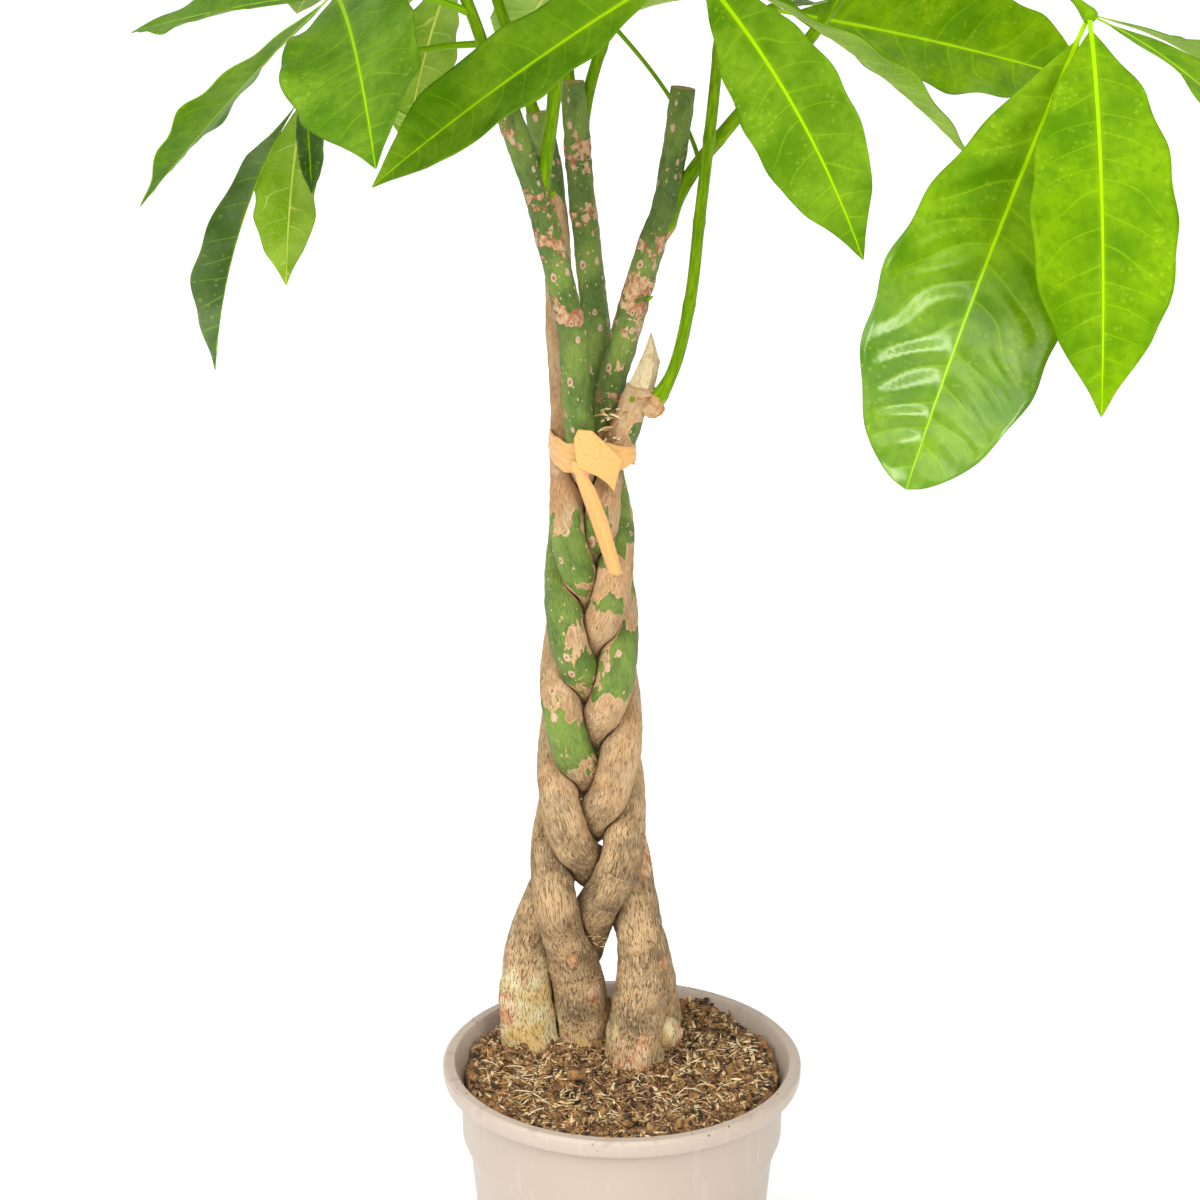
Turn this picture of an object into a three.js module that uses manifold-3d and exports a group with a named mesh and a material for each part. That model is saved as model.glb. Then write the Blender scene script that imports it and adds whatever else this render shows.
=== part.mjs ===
// A potted money tree: five trunks braided together in a round plastic pot of soil, tied with a flat
// ribbon below their cut tops, with green shoots that carry fans of long pointed leaflets.
// Millimetres, +Z up, the front faces -Y. The origin is the centre of the pot's underside.

import * as THREE from 'three';
import { mergeVertices } from 'three/addons/utils/BufferGeometryUtils.js';
import Module from 'manifold-3d';

const wasm = await Module();
wasm.setup();

// ---------------------------------------------------------------- driving dimensions

const TOUCH = 0.35;                    // clearance left between two pieces that touch
const RADIANS = Math.PI / 180;

const POT_HEIGHT = 220;
const POT_RIM_RADIUS = 120;
const POT_LIP_HEIGHT = 11;             // the turned-out edge at the top
const POT_LIP_WIDTH = 9;
const POT_BAND_RADIUS = 108.5;         // the plain band below the lip
const POT_BAND_BOTTOM = 168;
const POT_SHOULDER_DROP = 15;
const POT_WALL_TOP_RADIUS = 102;
const POT_FOOT_RADIUS = 88;
const POT_WALL = 2.5;
const POT_SEGMENTS = 36;
const POT_FLOOR = 4;                   // height of the raised ring of floor that holds the drains
const DRAIN_COUNT = 6;
const DRAIN_RADIUS = 6;
const DRAIN_CIRCLE = 47;

const SOIL_LEVEL = 215;
const SOIL_LUMP = 5;                   // how far the surface rises and falls
const SOIL_MOUND = 7;                  // the surface is heaped a little round the trunks
const SOIL_SEGMENTS = 30;

const BRAID_AXIS = { x: -21, y: 20 };
const BRAID_TURN = 310;                // height in which one trunk weaves out to both sides and back
const BRAID_FIRST_CROSSING = 322;      // above the soil
const BRAID_FLATNESS = 1.9;            // depth of the weave in trunk radii
const BRAID_STEP = 14;                 // spacing of the points of a woven path
// Width of the weave and radius of a trunk, each against height above the soil.
const BRAID_SWING = [[60, 34], [100, 31], [135, 26.5], [170, 23.5], [240, 21], [400, 15.5]];
const TRUNK_RADIUS = [[-45, 20], [0, 20.5], [50, 17.5], [100, 14.8], [200, 13.2], [300, 12.2],
  [385, 10.8], [440, 9.2], [520, 8.6], [640, 7.6]];
const TRUNK_SIDES = 9;
const TRUNK_RING_STEP = 18;
const PRESS_GAP = 2.0;                 // left between two trunks that grow against each other

const TIE_TOP = 646;
const TIE_HEIGHT = 19;
const TIE_THICKNESS = 1.6;
const TIE_SEGMENTS = 24;

const SHOOT_SIDES = 7;
const SHOOT_RINGS = 9;
const PETIOLE_SIDES = 5;
const HUB_RADIUS = 4.6;                // the knob where the leaflets meet
const LEAFLET_STATIONS = 5;
const LEAFLET_THICKNESS = 1.8;
const LEAFLET_SLENDERNESS = 0.31;      // width of a leaflet as a share of its length
const LEAFLET_FOLD = 14 * RADIANS;     // the two halves rise from the midrib like a shallow V
const LEAFLET_WAVE = 0.11;             // edge wave as a share of the half-width
const FAN_ARC = 292;                   // degrees that the leaflets of one fan spread over
const GOLDEN_ANGLE = 137.5;
const CROWN_BOTTOM = 955;              // the upper leaves end here; only the low ones hang further down
const LEAF_TRIES = 48;
const LEAF_CLEARANCE = 1.4;            // extra thickness while a leaf's place is tested

// ---------------------------------------------------------------- colours

const plastic = material(0xcdbcab, 0.45);
const earth = material(0x43301f, 0.95);
const bark = material(0x8f7a55, 0.85);
const ribbon = material(0xf0bb78, 0.55);
const shootGreen = material(0x6f9a2f, 0.5);
const leafGreen = material(0x4f8f14, 0.4);

function material(color, roughness) {
  return new THREE.MeshStandardMaterial({ color, roughness, metalness: 0 });
}

// ---------------------------------------------------------------- general helpers

// A repeatable draw between 0 and 1 for a whole number.
function draw(number) {
  const value = Math.sin(number * 12.9898) * 43758.5453;
  return value - Math.floor(value);
}

function between(low, high, number) {
  return low + (high - low) * draw(number);
}

// Straight-line reading of a table of [place, value] pairs, held level past its ends.
function readTable(table, place) {
  const next = table.findIndex((row) => row[0] >= place);
  if (next === 0) return table[0][1];
  if (next < 0) return table[table.length - 1][1];
  const [before, after] = [table[next - 1], table[next]];
  return before[1] + (after[1] - before[1]) * (place - before[0]) / (after[0] - before[0]);
}

function vector(x, y, z) {
  return new THREE.Vector3(x, y, z);
}

// A direction from a compass heading and a pitch above level, both in radians.
function heading(azimuth, pitch) {
  const level = Math.cos(pitch);
  return vector(level * Math.cos(azimuth), level * Math.sin(azimuth), Math.sin(pitch));
}

function solidOf(geometry) {
  geometry.deleteAttribute('normal');
  geometry.deleteAttribute('uv');
  const merged = mergeVertices(geometry);
  const mesh = new wasm.Mesh({
    numProp: 3,
    vertProperties: new Float32Array(merged.attributes.position.array),
    triVerts: new Uint32Array(merged.index.array),
  });
  return new wasm.Manifold(mesh);
}

function meshOf(name, solid, surface) {
  const faces = solid.getMesh();
  const geometry = new THREE.BufferGeometry();
  geometry.setAttribute('position', new THREE.BufferAttribute(new Float32Array(faces.vertProperties), 3));
  geometry.setIndex(new THREE.BufferAttribute(new Uint32Array(faces.triVerts), 1));
  const mesh = new THREE.Mesh(geometry, surface);
  mesh.name = name;
  return mesh;
}

// The faces of a skin whose odd sides are split along the other diagonal. The upper and the lower
// sheet of a thin blade are then split alike, so they can't pass through each other where it twists.
function mirroredFaces(sides, rings) {
  const faces = [];
  for (let index = 0; index < sides * rings; index += 1) {
    const [ring, side] = [Math.floor(index / sides), index % sides];
    const start = ring * (sides + 1) + side;
    const next = start + sides + 1;
    const odd = side % 2 === 1;
    if (ring > 0) faces.push(start, odd ? next + 1 : next, start + 1);
    if (ring < rings - 1) faces.push(odd ? start : start + 1, next, next + 1);
  }
  return faces;
}

// A closed skin of rings from one end to the other; the first and the last ring are one point each.
function skin(sides, rings, pointAt, mirrored = false) {
  const geometry = new THREE.CylinderGeometry(0, 0, 1, sides, rings, true);
  if (mirrored) geometry.setIndex(mirroredFaces(sides, rings));
  const places = geometry.attributes.position;
  for (let index = 0; index < places.count; index += 1) {
    const ring = Math.floor(index / (sides + 1));
    const turn = (index % (sides + 1)) / sides * 2 * Math.PI;
    const point = pointAt(ring, turn);
    places.setXYZ(index, point.x, point.y, point.z);
  }
  return solidOf(geometry);
}

// Directions along, across and up from each point of a line, carried along without twist.
function framesAlong(points) {
  const frames = [];
  let across = vector(1, 0, 0);
  points.forEach((point, index) => {
    const before = points[Math.max(index - 1, 0)];
    const after = points[Math.min(index + 1, points.length - 1)];
    const along = after.clone().sub(before).normalize();
    if (index === 0 && Math.abs(along.x) > 0.8) across = vector(0, 1, 0);
    across = across.clone().addScaledVector(along, -across.dot(along)).normalize();
    frames.push({ along, across, up: along.clone().cross(across) });
  });
  return frames;
}

// A tube with flat ends round a line of points; reach(index, direction) gives its radius.
function tube(points, sides, reach) {
  const frames = framesAlong(points);
  const last = points.length - 1;
  return skin(sides, points.length + 1, (ring, turn) => {
    const index = Math.min(Math.max(ring - 1, 0), last);
    if (ring === 0 || ring === last + 2) return points[index];
    const { across, up } = frames[index];
    const direction = across.clone().multiplyScalar(Math.sin(turn)).addScaledVector(up, Math.cos(turn));
    return points[index].clone().addScaledVector(direction, reach(index, direction));
  });
}

function curveThrough(points, spaces) {
  return new THREE.CatmullRomCurve3(points, false, 'centripetal').getSpacedPoints(spaces);
}

// A small rounded lump.
function lump(centre, radius, sides = 6, rings = 4) {
  return skin(sides, rings, (ring, turn) => {
    const latitude = Math.PI * ring / rings;
    const reach = radius * Math.sin(latitude);
    const height = radius * Math.cos(latitude);
    return centre.clone().add(vector(reach * Math.sin(turn), -reach * Math.cos(turn), height));
  });
}

// ---------------------------------------------------------------- pot and soil

function latheGeometry(profile, segments) {
  const points = profile.map(([radius, height]) => new THREE.Vector2(radius, height));
  const geometry = new THREE.LatheGeometry(points, segments);
  geometry.rotateX(Math.PI / 2);
  return geometry;
}

const shoulderBottom = POT_BAND_BOTTOM - POT_SHOULDER_DROP;
const lipBottom = POT_HEIGHT - POT_LIP_HEIGHT;
const lipInner = POT_RIM_RADIUS - POT_LIP_WIDTH;

function potProfile() {
  return [
    [0, 0], [30, 0], [32, POT_FLOOR], [61, POT_FLOOR], [63, 0], [POT_FOOT_RADIUS - 3, 0],
    [POT_FOOT_RADIUS, 5],
    [POT_WALL_TOP_RADIUS, shoulderBottom],
    [POT_BAND_RADIUS - 1, POT_BAND_BOTTOM],
    [POT_BAND_RADIUS, lipBottom],
    [POT_RIM_RADIUS - 1, lipBottom],
    [POT_RIM_RADIUS, lipBottom + 3],
    [POT_RIM_RADIUS, POT_HEIGHT - 2],
    [POT_RIM_RADIUS - 2, POT_HEIGHT],
    [lipInner + 1.5, POT_HEIGHT],
    [lipInner, POT_HEIGHT - 2],
    [POT_BAND_RADIUS - POT_WALL, lipBottom - 4],
    [POT_BAND_RADIUS - 1 - POT_WALL, POT_BAND_BOTTOM - 1],
    [POT_WALL_TOP_RADIUS - POT_WALL, shoulderBottom - 1],
    [POT_FOOT_RADIUS - POT_WALL, POT_FLOOR + POT_WALL],
    [0, POT_FLOOR + POT_WALL],
  ];
}

function potSolid() {
  let pot = solidOf(latheGeometry(potProfile(), POT_SEGMENTS));
  for (let hole = 0; hole < DRAIN_COUNT; hole += 1) {
    const drain = new THREE.CylinderGeometry(DRAIN_RADIUS, DRAIN_RADIUS, 4 * POT_FLOOR, 8);
    const angle = (hole + 0.5) * 2 * Math.PI / DRAIN_COUNT;
    drain.rotateX(Math.PI / 2);
    drain.translate(DRAIN_CIRCLE * Math.cos(angle), DRAIN_CIRCLE * Math.sin(angle), POT_FLOOR);
    pot = pot.subtract(solidOf(drain));
  }
  return pot;
}

// Height of the lumpy surface: a low heap round the trunks and clods of a few sizes.
function soilHeight(x, y) {
  const fromTrunks = Math.hypot(x - BRAID_AXIS.x, y - BRAID_AXIS.y);
  const heap = SOIL_MOUND * Math.exp(-((fromTrunks / 45) ** 2));
  const clods = Math.sin(x / 11 + 1.3) * Math.cos(y / 9 - 0.6) + 0.6 * Math.sin((x + y) / 6.3);
  const backHeap = 9 * Math.exp(-(((x - 62) / 16) ** 2) - (((y - 84) / 11) ** 2));
  return SOIL_LEVEL + heap + backHeap + SOIL_LUMP * 0.5 * clods;
}

function soilSolid() {
  const side = POT_WALL + TOUCH;
  const rings = [102, 88, 72, 56, 40, 24, 10, 0];
  const edge = POT_BAND_RADIUS - 1.4 - side;
  const profile = [
    [0, POT_FLOOR + side],
    [POT_FOOT_RADIUS - side - 0.5, POT_FLOOR + side],
    [POT_WALL_TOP_RADIUS - side - 0.3, shoulderBottom - 1],
    [edge, POT_BAND_BOTTOM],
    [edge, SOIL_LEVEL - 10],
    ...rings.map((radius) => [radius, SOIL_LEVEL]),
  ];
  const geometry = latheGeometry(profile, SOIL_SEGMENTS);
  const places = geometry.attributes.position;
  for (let index = 0; index < places.count; index += 1) {
    if (places.getZ(index) > SOIL_LEVEL - 1) {
      places.setZ(index, soilHeight(places.getX(index), places.getY(index)));
    }
  }
  return solidOf(geometry);
}

// ---------------------------------------------------------------- the five braided trunks

// The trunks in the order in which they cross the middle from the left, from the top down.
// `foot` leads from the soil up into the braid and `top` leads out of it, in millimetres.
const TRUNKS = [
  {
    name: 'trunk_back_left',
    foot: [[-60, 28, 170], [-61, 28, 215], [-65, 30, 248], [-60, 36, 292]],
    top: [[-37, 35, 655], [-40, 40, 702], [-41, 42, 747], [-45, 44, 797], [-53, 46, 844]],
  },
  {
    name: 'trunk_broken_top',
    foot: [[-40, 70, 170], [-40, 68, 215], [-36, 58, 255], [-25, 36, 294]],
    top: [[0, 3, 650], [7, 4, 671], [12, 4, 682], [15, 4, 696]],
  },
  {
    name: 'trunk_right',
    foot: [[8, 6, 170], [8, 5, 215], [11, 3, 252], [13.5, 3, 294]],
    top: [[-9, 22, 655], [-7, 18, 681], [0, 15, 707], [9.5, 15, 742], [17.5, 15, 767], [27, 15, 799],
      [35.5, 15, 863]],
  },
  {
    name: 'trunk_middle',
    foot: [[24, 54, 170], [22, 54, 215], [18, 52, 255], [11, 47, 295]],
    top: [[-16, 38, 655], [-17, 37, 709], [-20, 36, 738], [-26, 36, 796], [-32, 36, 864]],
  },
  {
    name: 'trunk_front_left',
    foot: [[-25, 36, 170], [-26, 34, 215], [-30, 24, 267], [-40, 8, 313]],
    top: [[-28, 1, 655], [-31.5, 0, 710], [-40, 0, 751], [-53, 0, 801], [-69, 0, 846], [-78, -2, 873]],
  },
];
const CROSSING_STEP = BRAID_TURN / TRUNKS.length;
const BRAID_BOTTOM = 335;
const BRAID_TOP = 600;

// Seen from above, a trunk runs round a figure of eight: inward at the front, outward at the back.
function wovenPoint(order, height) {
  const aboveSoil = height - SOIL_LEVEL;
  const crossing = BRAID_FIRST_CROSSING - CROSSING_STEP * order;
  const phase = 2 * Math.PI * (crossing - aboveSoil) / BRAID_TURN;
  const swing = readTable(BRAID_SWING, aboveSoil);
  const depth = BRAID_FLATNESS * readTable(TRUNK_RADIUS, aboveSoil);
  return vector(BRAID_AXIS.x + swing * Math.sin(phase), BRAID_AXIS.y + depth * Math.sin(2 * phase), height);
}

function trunkLine(order) {
  const { foot, top } = TRUNKS[order];
  const woven = [];
  for (let height = BRAID_BOTTOM; height <= BRAID_TOP; height += BRAID_STEP) {
    woven.push(wovenPoint(order, height));
  }
  const points = [...foot.map((p) => vector(...p)), ...woven, ...top.map((p) => vector(...p))];
  const length = new THREE.CatmullRomCurve3(points, false, 'centripetal').getLength();
  return curveThrough(points, Math.round(length / TRUNK_RING_STEP));
}

const trunkLines = TRUNKS.map((trunk, order) => trunkLine(order));

function trunkRadius(point) {
  return readTable(TRUNK_RADIUS, point.z - SOIL_LEVEL);
}

// Distance from a point to a line of points, as a share of the trunk's radius there.
function shareOfDistance(point, line) {
  let nearest = Infinity;
  const segment = new THREE.Line3();
  const foot = new THREE.Vector3();
  for (let index = 1; index < line.length; index += 1) {
    if (Math.abs(line[index].z - point.z) < 60) {
      segment.set(line[index - 1], line[index]).closestPointToPoint(point, true, foot);
      nearest = Math.min(nearest, (foot.distanceTo(point) - PRESS_GAP) / trunkRadius(foot));
    }
  }
  return nearest;
}

// Where two trunks grow against each other, each keeps to its own side of the surface between them.
function pressedReach(order, centre, direction, radius) {
  const others = trunkLines.filter((line, index) => index !== order);
  let [inside, outside] = [0, radius];
  const clearAt = (reach) => {
    const point = centre.clone().addScaledVector(direction, reach);
    return others.every((line) => shareOfDistance(point, line) >= reach / radius);
  };
  if (clearAt(radius)) return radius;
  for (let step = 0; step < 12; step += 1) {
    const middle = (inside + outside) / 2;
    if (clearAt(middle)) inside = middle;
    else outside = middle;
  }
  return inside;
}

function trunkReaches(order) {
  const table = new Map();
  return (index, direction) => {
    const key = `${index} ${direction.x.toFixed(5)} ${direction.y.toFixed(5)} ${direction.z.toFixed(5)}`;
    if (!table.has(key)) {
      const centre = trunkLines[order][index];
      table.set(key, pressedReach(order, centre, direction, trunkRadius(centre)));
    }
    return table.get(key);
  };
}

function trunkSolid(order, grown) {
  const reach = reaches[order];
  return tube(trunkLines[order], TRUNK_SIDES, (index, direction) => reach(index, direction) + grown);
}

const reaches = TRUNKS.map((trunk, order) => trunkReaches(order));
const grownTrunks = TRUNKS.map((trunk, order) => trunkSolid(order, TOUCH));

// What the straight facets still let through between two rings is cut away.
const trunkSolids = TRUNKS.map((trunk, order) => {
  const earlier = grownTrunks.slice(0, order);
  return earlier.reduce((solid, neighbour) => solid.subtract(neighbour), trunkSolid(order, 0));
});

// The broken end: pale wood torn to a point, with a knob of bark beside it.
const brokenTop = TRUNKS.findIndex((trunk) => trunk.name === 'trunk_broken_top');
const STUB_LINE = [vector(14, 4, 690), vector(16, 4, 700), vector(17, 4, 708), vector(17, 4, 714)];
const STUB_RADII = [7.2, 6.4, 4, 0.8];
const KNOB = { centre: vector(17.5, -1, 667), radius: 6.5 };

// Bark swollen over a cut root at the foot of the right-hand trunk.
const rightTrunk = TRUNKS.findIndex((trunk) => trunk.name === 'trunk_right');
const ROOT_LUMP = { centre: vector(30, 3, 238), radius: 9.5 };

function brokenTopSolid() {
  const stub = tube(STUB_LINE, TRUNK_SIDES, (index) => STUB_RADII[index]);
  return trunkSolids[brokenTop].add(stub).add(lump(KNOB.centre, KNOB.radius, 8, 5));
}

// ---------------------------------------------------------------- the tie round the top of the braid

const KNOT = { centre: vector(-27, -11, 632), radius: 5.6 };
const TIE_FRONT = -13.2;               // the two loose ends hang just in front of the braid
const FLAP = [[-31, 633], [-31, 656], [-19.7, 655.4], [-0.8, 635.4], [-5.8, 617.4], [-14.2, 627.4],
  [-24, 630]];
const TAIL = [[-32.5, 631], [-24.5, 633], [-0.7, 562], [-8, 560]];

// The farthest that the bundle of trunks reaches towards one side at the height of the tie.
function bundleReach(angle) {
  let reach = -Infinity;
  for (const solid of trunkSolids) {
    const corners = solid.getMesh().vertProperties;
    for (let index = 0; index < corners.length; index += 3) {
      const height = corners[index + 2];
      if (height > TIE_TOP - TIE_HEIGHT - 7 && height < TIE_TOP + 7) {
        reach = Math.max(reach, corners[index] * Math.cos(angle) + corners[index + 1] * Math.sin(angle));
      }
    }
  }
  return reach;
}

// The outline of a band pulled tight round the bundle, as the crossings of its straight stretches.
function bandOutline(offset) {
  const step = 2 * Math.PI / TIE_SEGMENTS;
  const outline = [];
  for (let index = 0; index < TIE_SEGMENTS; index += 1) {
    const reach = bundleReach(index * step) + offset;
    const next = bundleReach((index + 1) * step) + offset;
    const slide = (next - reach * Math.cos(step)) / Math.sin(step);
    const [cosine, sine] = [Math.cos(index * step), Math.sin(index * step)];
    outline.push(new THREE.Vector2(reach * cosine - slide * sine, reach * sine + slide * cosine));
  }
  return outline;
}

function bandSolid() {
  const band = new THREE.Shape(bandOutline(TOUCH + TIE_THICKNESS));
  band.holes.push(new THREE.Path(bandOutline(TOUCH)));
  const geometry = new THREE.ExtrudeGeometry(band, { depth: TIE_HEIGHT, bevelEnabled: false });
  geometry.translate(0, 0, TIE_TOP - TIE_HEIGHT);
  return solidOf(geometry);
}

// A flat loose end of the ribbon, cut from a sheet that stands upright in front of the braid.
function looseEnd(corners, distance) {
  const sheet = new THREE.Shape(corners.map(([x, z]) => new THREE.Vector2(x, z)));
  const geometry = new THREE.ExtrudeGeometry(sheet, { depth: TIE_THICKNESS, bevelEnabled: false });
  geometry.rotateX(Math.PI / 2);
  geometry.translate(0, TIE_FRONT - distance, 0);
  return solidOf(geometry);
}

function tieSolid() {
  const knot = lump(KNOT.centre, KNOT.radius, 8, 6);
  const ribbonSolid = bandSolid().add(knot).add(looseEnd(FLAP, 0.6)).add(looseEnd(TAIL, 0));
  return grownTrunks.reduce((tie, trunk) => tie.subtract(trunk), ribbonSolid);
}

// ---------------------------------------------------------------- green shoots

// Each shoot grows out of a trunk's top or side. `leaves` is how many fans it may carry past its
// middle, and `turn` is the heading of the first, in degrees.
const SHOOTS = [
  { name: 'shoot_fork', radii: [4.4, 3], leaves: 4, turn: 250,
    line: [[-52, 0, 792], [-42, -3, 861], [-30, -8, 960], [-22, -10, 1050]] },
  { name: 'shoot_left', radii: [4, 2.8], leaves: 4, turn: 160,
    line: [[-74, 0, 856], [-88, -2, 900], [-110, 0, 960], [-125, 4, 1035]] },
  { name: 'shoot_right', radii: [4.8, 3], leaves: 4, turn: 320,
    line: [[23, 15, 772], [38, 14, 806], [67, 12, 844], [115, 8, 898], [145, 4, 955], [155, 0, 1030]] },
  { name: 'shoot_knob', radii: [3.9, 3], leaves: 4, turn: 285,
    line: [[18, -1, 667], [31, 0, 692], [40.7, 0, 735], [46.3, 0, 788], [54, -4, 864], [60, -8, 950],
      [62, -12, 1065]] },
  { name: 'shoot_middle', radii: [4.2, 2.8], leaves: 4, turn: 80,
    line: [[-33, 38, 846], [-35, 54, 886], [-26, 70, 960], [-14, 76, 1085]] },
  { name: 'shoot_middle_right', radii: [4, 2.8], leaves: 4, turn: 35,
    line: [[-28, 36, 818], [-21, 48, 860], [4, 76, 930], [42, 98, 1035]] },
  { name: 'shoot_back_left', radii: [4, 2.8], leaves: 4, turn: 150,
    line: [[-52, 47, 828], [-62, 62, 862], [-85, 88, 930], [-98, 105, 1020]] },
];

const shootLines = SHOOTS.map((shoot) => curveThrough(shoot.line.map((p) => vector(...p)), SHOOT_RINGS));

function shootSolid(order, grown) {
  const [bottom, top] = SHOOTS[order].radii;
  const radius = (index) => bottom + (top - bottom) * index / SHOOT_RINGS + grown;
  return tube(shootLines[order], SHOOT_SIDES, radius);
}

function shootPoint(order, share) {
  const place = share * SHOOT_RINGS;
  const index = Math.min(Math.floor(place), SHOOT_RINGS - 1);
  return shootLines[order][index].clone().lerp(shootLines[order][index + 1], place - index);
}

// ---------------------------------------------------------------- leaves

// Half the width of a leaflet as a share of the widest, from the end of its stalk to its tip.
function outlineAt(share) {
  return 3.69 * share ** 1.05 * (1 - share) ** 0.85;
}

// A point of the midrib, which leaves at `pitch` and bows down by `droop` on its way to the tip.
function midribPoint(root, leaflet, share) {
  const { azimuth, pitch, droop, length } = leaflet;
  const level = (Math.sin(pitch) - Math.sin(pitch - droop * share)) / droop;
  const rise = (Math.cos(pitch - droop * share) - Math.cos(pitch)) / droop;
  return root.clone().add(vector(
    length * level * Math.cos(azimuth), length * level * Math.sin(azimuth), length * rise));
}

const STATION_SHARES = [0, 0.05, 0.27, 0.54, 0.8, 1];

// A blade of four edges from hub to tip: two margins that wave, a midrib above and one below.
function leafletSolid(root, leaflet, grown) {
  const { azimuth, pitch, droop, length, width, roll, wave } = leaflet;
  return skin(4, LEAFLET_STATIONS, (ring, turn) => {
    const share = STATION_SHARES[ring];
    const centre = midribPoint(root, leaflet, share);
    if (ring === 0 || ring === LEAFLET_STATIONS) return centre;
    const along = heading(azimuth, pitch - droop * share);
    const level = vector(-Math.sin(azimuth), Math.cos(azimuth), 0);
    const side = level.clone().applyAxisAngle(along, roll);
    const up = along.clone().cross(side);
    const stalk = STATION_SHARES[1];
    const bladeShare = Math.max((share - stalk) / (1 - stalk), 0);
    const half = Math.max(width / 2 * outlineAt(bladeShare), 1.9);
    const thick = (ring === 1 ? 1.5 : 1) * LEAFLET_THICKNESS / 2 + grown;
    const [margin, rib] = [Math.sin(turn), Math.cos(turn)];
    if (Math.abs(rib) > 0.5) return centre.addScaledVector(up, rib * thick);
    const ripple = LEAFLET_WAVE * half * Math.sin(wave + 2.4 * ring * Math.sign(margin));
    const lift = ring === 1 ? 0 : half * Math.sin(LEAFLET_FOLD) + ripple;
    return centre.addScaledVector(side, margin * (half + grown)).addScaledVector(up, lift);
  }, true);
}

// The stalk bows upwards on its way to the hub, unless the leaf says otherwise.
function petioleLine({ root, hub, bow }) {
  const reach = hub.distanceTo(root);
  const middle = root.clone().lerp(hub, 0.5).add(bow || vector(0, 0, 0.14 * reach));
  const bend = new THREE.QuadraticBezierCurve3(root, middle, hub);
  const end = hub.clone().addScaledVector(bend.getTangent(1), HUB_RADIUS);
  return [...[0, 0.33, 0.66, 1 - 9 / reach, 1].map((share) => bend.getPoint(share)), end];
}

const PETIOLE_RADII = [2.7, 2, 1.9, 2.3, HUB_RADIUS, HUB_RADIUS - 1.4];

// The whole leaf in one body: its stalk, thickened at the hub, and the fan of leaflets sunk into it.
function leafParts(leaf, grown) {
  const stalk = tube(petioleLine(leaf), PETIOLE_SIDES, (index) => PETIOLE_RADII[index] + grown);
  const blades = leaf.leaflets.map((leaflet) => leafletSolid(leaf.hub, leaflet, grown));
  return { stalk, fan: blades.reduce((fan, blade) => fan.add(blade)) };
}

// Leaflets spread round the end of a stalk: the outer ones longest and lowest.
function fanOf(count, outward, { pitch, tilt, droop, length, seed }) {
  const leaflets = [];
  for (let index = 0; index < count; index += 1) {
    const offset = (index / (count - 1) - 0.5) * FAN_ARC * RADIANS;
    const size = length * (1 - 0.3 * Math.abs(offset) / Math.PI) * between(0.92, 1.08, seed + index);
    leaflets.push({
      azimuth: outward + offset,
      pitch: pitch - tilt * Math.cos(offset),
      droop: droop * between(0.8, 1.25, seed + index + 0.3),
      length: size,
      width: size * LEAFLET_SLENDERNESS,
      roll: between(-0.25, 0.25, seed + index + 0.6),
      wave: 6.3 * draw(seed + index + 0.9),
    });
  }
  return leaflets;
}

// The leaves that hang lowest, placed one by one. Each leaflet: heading and pitch at the hub and
// droop, in degrees, then length and width, then how far it is rolled to one side.
const LOW_LEAVES = [
  {
    shoot: 'shoot_knob', share: 0.86, hub: [36, -90, 946],
    leaflets: [[177, -30, 10, 224, 62, -47], [-44, -36, 27, 202, 62, 59], [23, -22, 23, 232, 50, 4],
      [54, 6, 28, 165, 50, 0], [112, 8, 28, 150, 46, 0]],
  },
  {
    shoot: 'shoot_left', share: 0.3, hub: [-171, -20, 923],
    leaflets: [[-79, -2, 38, 212, 86, 34], [172, -42, 8, 180, 56, 10], [140, -8, 6, 187, 54, -23],
      [105, 2, 24, 150, 48, 0], [66, 8, 24, 105, 36, 0]],
  },
  {
    shoot: 'shoot_back_left', share: 0.3, hub: [-198, 50, 857],
    leaflets: [[180, -56, 29, 190, 45, 8], [136, -72, 14, 128, 46, 8], [40, -10, 30, 110, 38, 0],
      [-80, -40, 40, 70, 26, 0]],
  },
  {
    shoot: 'shoot_left', share: 0.42, hub: [-106, 96, 929],
    leaflets: [[168, -34, 26, 130, 46, 0], [118, -46, 22, 150, 52, 0], [72, -6, 24, 150, 48, 0]],
  },
  {
    shoot: 'shoot_knob', share: 0.33, hub: [-35, 118, 918], bow: [52, 44, -24],
    leaflets: [[104, -8, 28, 180, 56, 0], [48, 8, 20, 170, 54, 0], [-12, 8, 18, 140, 44, 0]],
  },
  {
    shoot: 'shoot_right', share: 0.62, hub: [92, 62, 905],
    leaflets: [[4, -9, 8, 215, 76, -60], [62, 2, 26, 200, 62, 0], [122, 6, 22, 160, 52, 0]],
  },
  {
    shoot: 'shoot_right', share: 0.84, hub: [248, -170, 925],
    leaflets: [[213, -61, 8, 273, 97, -48], [-92, -34, 46, 235, 78, 0], [-32, -20, 48, 230, 74, 0],
      [24, -12, 45, 210, 68, 0]],
  },
];

function lowLeaf({ shoot, share, hub, bow, leaflets }) {
  const order = SHOOTS.findIndex(({ name }) => name === shoot);
  return {
    order,
    root: shootPoint(order, share),
    hub: vector(...hub),
    bow: bow && vector(...bow),
    leaflets: leaflets.map(([azimuth, pitch, droop, length, width, roll], index) => ({
      azimuth: azimuth * RADIANS,
      pitch: pitch * RADIANS,
      droop: droop * RADIANS,
      length,
      width,
      roll: roll * RADIANS,
      wave: 6.3 * draw(index + hub[0]),
    })),
  };
}

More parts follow.
